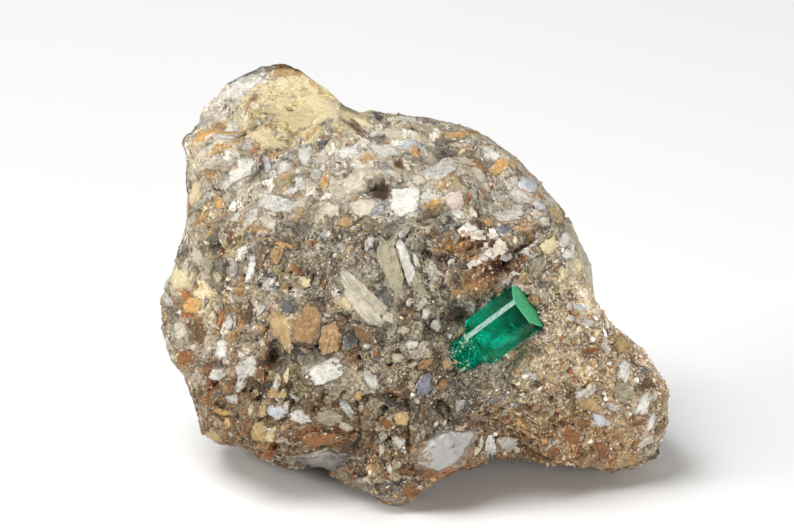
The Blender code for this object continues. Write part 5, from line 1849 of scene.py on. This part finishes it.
def stain_and_pore_shade_group():
    """Stain from iron over any ground: tan, rust and brown clouds, and painted shade in pores and cracks."""
    group, given, result = new_group(
        "iron stain and pore shade",
        {"Vector": "Vector", "Colour": "Color", "Warmth": 0.2, "Coarse": 1.0},
        {"Colour": "Color", "Height": "Float"},
    )
    clouds = noise(given["Vector"], 820.0, 6.0, 0.72, 0.9)
    fine = noise(given["Vector"], 1900.0, 4.0, 0.7, 0.4)
    over = clouds - (given["Warmth"] * -STAIN_REACH + STAIN_EDGE)
    stain = colour_ramp(over * 2.6 + (fine - 0.5), STAIN_COLOURS)
    colour = blend(held(over, 8.0) * 0.8, given["Colour"], stain)
    place = shaken(given["Vector"], clouds.beside("Color"), CRACK_WAVER * MM)
    cells = {"Vector": place, "Scale": 1000.0 / CRACK_SPACING}
    edges = put(group, "TexVoronoi", cells, "Distance", feature="DISTANCE_TO_EDGE")
    cracks = held(CRACK_WIDTH - edges, 1.0 / CRACK_WIDTH) * held(fine - 0.46, 12.0)
    # Painted shade: the pores and the cracks are darkened.
    hollow = figure("MAXIMUM", held(PORE_EDGE - fine, 11.0) * given["Coarse"], cracks)
    colour = blend(hollow * 0.8, colour, screen_colour(PORE_SHADE_COLOUR))
    give(result, {"Colour": colour, "Height": fine - hollow})
    return group


def stained_and_pore_shaded(iron, place, colour, warm, coarse):
    """A colour with stain, and painted shade in pores and cracks, laid over it. Its node's other output is
    their height.
    """
    inputs = {"Vector": place, "Colour": colour, "Warmth": warm, "Coarse": coarse}
    return put(place.tree, "Group", inputs, "Colour", node_tree=iron)


def mottle_group():
    """One mineral's own colour: two tones in clouds, streaks along its grain, stains and painted shade in
    fine pits.
    """
    group, given, result = new_group(
        "mineral mottle",
        {
            "Vector": "Vector", "Grain": "Vector", "Tone": 0.0, "Pale": "Color", "Deep": "Color",
            "Stain": "Color", "Stain Share": 0.2, "Size": 1.0, "Streaks": 0.5,
        },
        {"Colour": "Color", "Height": "Float", "Gloss": "Float"},
    )
    place = given["Vector"]
    clouds = noise(place, 1000.0 / given["Size"], 5.0, 0.65, 0.6)
    fibre = (noise(drawn_out(given["Grain"], 0.12), 3400.0, 3.0, 0.7, 0.25) - 0.5) * given["Streaks"]
    level = (clouds - 0.5) * 2.8 + 0.4 + fibre * 3.8 + given["Tone"] * -0.16
    colour = blend(held(level), given["Pale"], given["Deep"])
    edge = 0.78 - given["Stain Share"] * 0.42
    colour = blend(held(noise(place, 520.0, 4.0, 0.7, 1.2) - edge, 9.0), colour, given["Stain"])
    # Painted shade in the fine pits.
    pit = held(0.22 - put(group, "TexVoronoi", {"Vector": place, "Scale": 2300.0}, "Distance"), 5.0)
    give(result, {
        "Colour": blend(pit * 0.55, colour, screen_colour(PIT_SHADE_COLOUR)),
        "Height": clouds * 0.8 + fibre * 1.2 + pit * -0.5,
        "Gloss": clouds * 0.3 - 0.15,
    })
    return group


def new_material(name):
    """An empty Principled material: its tree, its shader's inputs and the place of each point in metres."""
    material = bpy.data.materials.new(name)
    material.use_nodes = True
    tree = material.node_tree
    inputs = tree.nodes["Principled BSDF"].inputs
    inputs["Metallic"].default_value = 0.0
    return material, tree, inputs, put(tree, "TexCoord", {}, "Object")


def bumped(height, distance):
    """The normals of a bump of this height, whose full range is distance in mm."""
    return put(height.tree, "Bump", {"Height": height, "Strength": 1.0, "Distance": distance * MM}, "Normal")


def stored(tree, name, output="Fac"):
    """A number or, with the output Color, a colour that is stored on the piece."""
    return put(tree, "Attribute", {}, output, attribute_name=name)


def grain_map(tree):
    """The place on the flat, in metres, that the piece's UV map holds."""
    return put(tree, "UVMap", {}, "UV", uv_map="grain")


def ground_material(speckle, iron):
    """The skin: splinters with fibres along them, and speckle of two sizes where the matter is loose, with
    painted shade.
    """
    material, tree, inputs, place = new_material("breccia ground")
    warm = stored(tree, "warmth")
    coarse = stored(tree, "coarse")
    colour = stored(tree, "tint", "Color")
    weight = coarse * stored(tree, "loose")
    turn = {"Vector": place, "Axis": VIEW_AXIS, "Angle": stored(tree, "turn") * -1.0}
    turned_place = put(tree, "VectorRotate", turn, 0)
    fibre = noise(drawn_out(turned_place, FIBRE_DRAW), FIBRE_FINENESS, 4.0, 0.7, 0.2) - 0.5
    height = fibre * 0.7
    for size, share, strength in GROUND_SPECKLES:
        grain = {"Vector": place, "Warmth": warm, "Size": size, "Share": share}
        grains = put(tree, "Group", grain, "Colour", node_tree=speckle)
        colour = blend(grains.beside("Mask") * weight * strength, colour, grains)
        height = grains.beside("Height") * weight * size + height
    shade = noise(place, 700.0, 6.0, 0.8) * 1.5 + 0.27 + fibre * FIBRE_WEIGHT
    colour = stained_and_pore_shaded(iron, place, toned(colour, shade), warm, coarse)
    height = colour.beside("Height") * 0.7 + height
    # Painted shade, stored on the skin: darker hollows, pores and pits, with broad tones that are partly
    # painted light.
    colour = blend(1.0, colour, stored(tree, "shade", "Color"), "MULTIPLY")
    colour = blend(stored(tree, "lining"), colour, stored(tree, "wall", "Color"))
    normal = bumped(height * (coarse * 0.6 + 0.4), GROUND_BUMP)
    give(inputs, {"Base Color": colour, "Roughness": 0.66, "Normal": normal})
    return material


def chip_material(name, finish, mottle, speckle, iron):
    """One mineral's fragments: the mottle in its own colours, ground matter ragged over its rim, painted
    shade along it.
    """
    pale, deep, stain, stain_share, size, streaks, roughness, bump, overlap = finish
    material, tree, inputs, place = new_material(name.replace("_", " "))
    looks = {
        "Vector": place, "Grain": grain_map(tree), "Tone": stored(tree, "tone"), "Pale": screen_colour(pale),
        "Deep": screen_colour(deep), "Stain": screen_colour(stain), "Stain Share": stain_share, "Size": size,
        "Streaks": streaks,
    }
    own = put(tree, "Group", looks, "Colour", node_tree=mottle)
    dirt = put(tree, "Group", {"Vector": place, "Size": 0.34, "Warmth": 0.3}, "Colour", node_tree=speckle)
    over = noise(place, 1100.0, 6.0, 0.85) * overlap + overlap * -0.44 - stored(tree, "rim")
    # Painted shade: a dark line where the ground matter meets the fragment.
    line = held(1.0 - figure("ABSOLUTE", over) * (1.0 / RIM_LINE))
    line = line * held(dirt.beside("Height") - 0.35, 3.0)
    over = held(over, 6.0)
    coarse = stored(tree, "coarse")
    matter = blend(dirt.beside("Mask") * (coarse * 0.7 + 0.1), stored(tree, "tint", "Color"), dirt)
    colour = blend(over, own, matter)
    colour = blend(line * RIM_SHADE_WEIGHT, colour, screen_colour(RIM_SHADE_COLOUR))
    height = over * coarse * dirt.beside("Height") * 0.6 + own.beside("Height") + line * -0.5
    give(inputs, {
        "Base Color": stained_and_pore_shaded(iron, place, colour, stored(tree, "warmth") * CHIP_WARMTH, coarse * 0.6),
        "Roughness": held(own.beside("Gloss") + roughness),
        "Normal": bumped(height, bump),
    })
    return material


def grit_material(iron):
    """Grains of grit and sand: each its own colour, clouded, with stain and painted pore shade, and a slight
    gloss.
    """
    material, tree, inputs, place = new_material("mineral grit")
    clouds = noise(place, 1900.0, 4.0, 0.7)
    colour = toned(stored(tree, "tint", "Color"), clouds * 0.9 + 0.55)
    warm = stored(tree, "warmth")
    give(inputs, {
        "Base Color": stained_and_pore_shaded(iron, place, colour, warm, warm * 0.5),
        "Roughness": clouds * 0.4 + 0.38,
        "Normal": bumped(clouds, 0.12),
    })
    return material


def let_light_in(tree, inputs, weight, roughness):
    """Makes a material clear beryl: weight of the light goes through it, and is taken up on the way."""
    give(inputs, {"Transmission Weight": weight, "IOR": CRYSTAL_IOR, "Roughness": roughness})
    body = {"Color": (*CRYSTAL_BODY, 1.0), "Density": CRYSTAL_DENSITY}
    give(tree.nodes["Material Output"].inputs, {"Volume": put(tree, "VolumeAbsorption", body, 0)})


def emerald_material():
    """The clear part: a tint that darkens along it, with clouds, and fine lines and pits in its faces."""
    material, tree, inputs, place = new_material("emerald")
    grain = grain_map(tree)
    start, end = CRYSTAL_CHANGE
    along = put(tree, "SeparateXYZ", {"Vector": grain}, "Y") * (1.0 / MM)
    share = (along - start) * (1.0 / (end - start))
    dark = held((noise(place, 420.0, 3.0, 0.6) - 0.5) * CRYSTAL_CLOUDS + share)
    lines = noise(drawn_out(grain, 0.05, axis=1), 3000.0, 3.0, 0.6)
    pits = noise(place, 2100.0, 4.0, 0.7)
    let_light_in(tree, inputs, 1.0, 0.03)
    give(inputs, {
        "Base Color": blend(dark, (*CRYSTAL_LIGHT, 1.0), (*CRYSTAL_DARK, 1.0)),
        "Specular Tint": (*CRYSTAL_GLOSS, 1.0),
        "Normal": bumped(lines * CRYSTAL_LINES + pits * CRYSTAL_PITS, 0.01),
    })
    return material


def frosted_and_highlight_material(name, deep, pale, size, roughness):
    """A milky part of the crystal, mottled, with half of the light going through it: used for the etched end
    and the painted highlight on the wide edge.
    """
    material, tree, inputs, place = new_material(name)
    frost = noise(place, 1000.0 / size, 4.0, 0.75)
    colour = blend(held((frost - 0.5) * 3.6 + 0.5), screen_colour(deep), screen_colour(pale))
    let_light_in(tree, inputs, 0.5, roughness)
    give(inputs, {"Base Color": colour, "Normal": bumped(frost, 0.2)})
    return material


def veil_material():
    """Veils along fractures: thin bright films with holes in them, some standing in for glints."""
    material, _, inputs, place = new_material("fracture veil and glint")
    clouds = noise(place, 2600.0, 4.0, 0.7)
    give(inputs, {
        "Base Color": blend(clouds, *map(screen_colour, VEIL_AND_GLINT_COLOURS)),
        "Roughness": 0.3,
        "Alpha": held(clouds - 0.45, 5.0),
        "Normal": bumped(clouds, 0.08),
    })
    return material


# ---------------------------------------------------------------- stage


def make_floor():
    """A wide pale floor under the stone."""
    material, _, inputs, _ = new_material("pale floor")
    give(inputs, {"Base Color": (*FLOOR_COLOUR, 1.0), "Roughness": 0.9})
    half = FLOOR_SIZE / 2.0
    corners = [(-half, -half, 0), (half, -half, 0), (half, half, 0), (-half, half, 0)]
    data = bpy.data.meshes.new("floor")
    data.from_pydata(corners, [], [(0, 1, 2, 3)])
    floor = bpy.data.objects.new("floor", data)
    bpy.context.scene.collection.objects.link(floor)
    data.materials.append(material)


def make_camera():
    """The camera, square to the show frame at VIEW_DISTANCE, with a plan step to each pixel."""
    middle = (np.array(PLAN_MIDDLE) - PLAN_HUB) * STEP_SIZE
    data = bpy.data.cameras.new("camera")
    data.sensor_width = SENSOR_WIDTH
    data.lens = SENSOR_WIDTH * VIEW_DISTANCE / (PLAN_WIDTH * PLAN_STEP)
    data.clip_start = 0.01
    data.clip_end = 20.0
    camera = bpy.data.objects.new("camera", data)
    camera.location = to_row(np.array([(*middle, VIEW_DISTANCE + VIEW_DEPTH)]))[0]
    camera.rotation_euler = (math.pi / 2.0 - SHOW_TILT, 0.0, 0.0)
    bpy.context.scene.collection.objects.link(camera)
    bpy.context.scene.camera = camera


def make_light(name, towards, distance, size, power):
    """A soft rectangular light, in a show-frame direction from the stone and turned to face it."""
    direction = np.array(towards, float)
    direction /= np.linalg.norm(direction)
    data = bpy.data.lights.new(name, "AREA")
    data.shape = "RECTANGLE"
    data.size, data.size_y = size
    data.energy = power
    light = bpy.data.objects.new(name, data)
    place, aim = to_row(np.array([direction * distance, (0.0, 0.0, 0.0)]))
    light.location = place
    light.rotation_mode = "QUATERNION"
    light.rotation_quaternion = Vector(place - aim).to_track_quat("Z", "Y")
    bpy.context.scene.collection.objects.link(light)


def edge_light_direction():
    """The show-frame direction whose light the crystal's wide edge throws straight at the camera.

    direction = 2 * (normal . view) * normal - view, with the edge's normal and the view along t.
    """
    _, across, out, _ = crystal_frame()
    angle = math.radians(60.0 * SHOWN_EDGE)
    normal = across * math.cos(angle) + out * math.sin(angle)
    return 2.0 * normal[2] * normal - (0.0, 0.0, 1.0)


def make_world():
    """A white surround that dims towards the dark side of the studio, which the show side faces."""
    world = bpy.data.worlds.new("studio")
    world.use_nodes = True
    tree = world.node_tree
    way = put(tree, "TexCoord", {}, "Generated")
    facing = put(tree, "VectorMath", {0: way, 1: VIEW_AXIS}, "Value", operation="DOT_PRODUCT")
    limits = dict(zip(("From Min", "From Max", "To Min", "To Max"), WORLD_FALL))
    lit = put(tree, "MapRange", {"Value": facing, **limits}, "Result", interpolation_type="SMOOTHSTEP")
    give(tree.nodes["Background"].inputs, {"Color": (1.0, 1.0, 1.0, 1.0), "Strength": lit})
    bpy.context.scene.world = world


def dress_stone(crystal_points, crystal_way_out):
    """The stone's skin, its named fragments, druse, grit and sand, and the calcite on the crystal."""
    mottle = mottle_group()
    speckle = speckle_group()
    iron = stain_and_pore_shade_group()
    chips = chip_table()
    for piece, name in zip(make_chips(chips), CHIPS):
        piece.data.materials.append(chip_material(name, FINISHES[name], mottle, speckle, iron))
    skin, direction, squares, points, plan, cover, sunk = make_skin(chips)
    skin.data.materials.append(ground_material(speckle, iron))
    grit = grit_material(iron)
    make_druse().data.materials.append(grit)
    make_flecks(crystal_points, crystal_way_out).data.materials.append(grit)
    bare = (cover > GRIT_COVER) & (sunk < GRIT_SUNK) & (to_row(points)[:, 2] > GRIT_HEIGHT * MM)
    front = direction[:, 2] > GRIT_FRONT
    ground = (squares, points, plan)
    for name, form, count, sizes, lean, seed, front_share_of_grit in GRITS:
        chance = bare * np.where(front, 1.0, 1.0 - front_share_of_grit) * sandiness(plan)
        form = solid_form(form) if form != "ball" else cut_once(*solid_form("icosahedron"))
        make_grit(name, form, count, sizes, chance, lean, seed, ground).data.materials.append(grit)


def dress_crystal():
    """The crystal with its etched end, the painted highlight on its wide edge, and the veils in it. It gives
    the crystal's surface.
    """
    crystal, points, way_out = make_crystal()
    crystal.data.materials.append(emerald_material())
    for finish in MILKY_AND_HIGHLIGHT_FINISHES:
        crystal.data.materials.append(frosted_and_highlight_material(*finish))
    make_veils().data.materials.append(veil_material())
    return points, way_out


def main():
    make_camera()
    make_world()
    make_floor()
    for light in LIGHTS:
        make_light(*light)
    make_light("edge_light", edge_light_direction(), *EDGE_LIGHT)
    points, way_out = dress_crystal()
    dress_stone(points, way_out)
    bpy.context.scene.view_settings.view_transform = "Standard"


main()
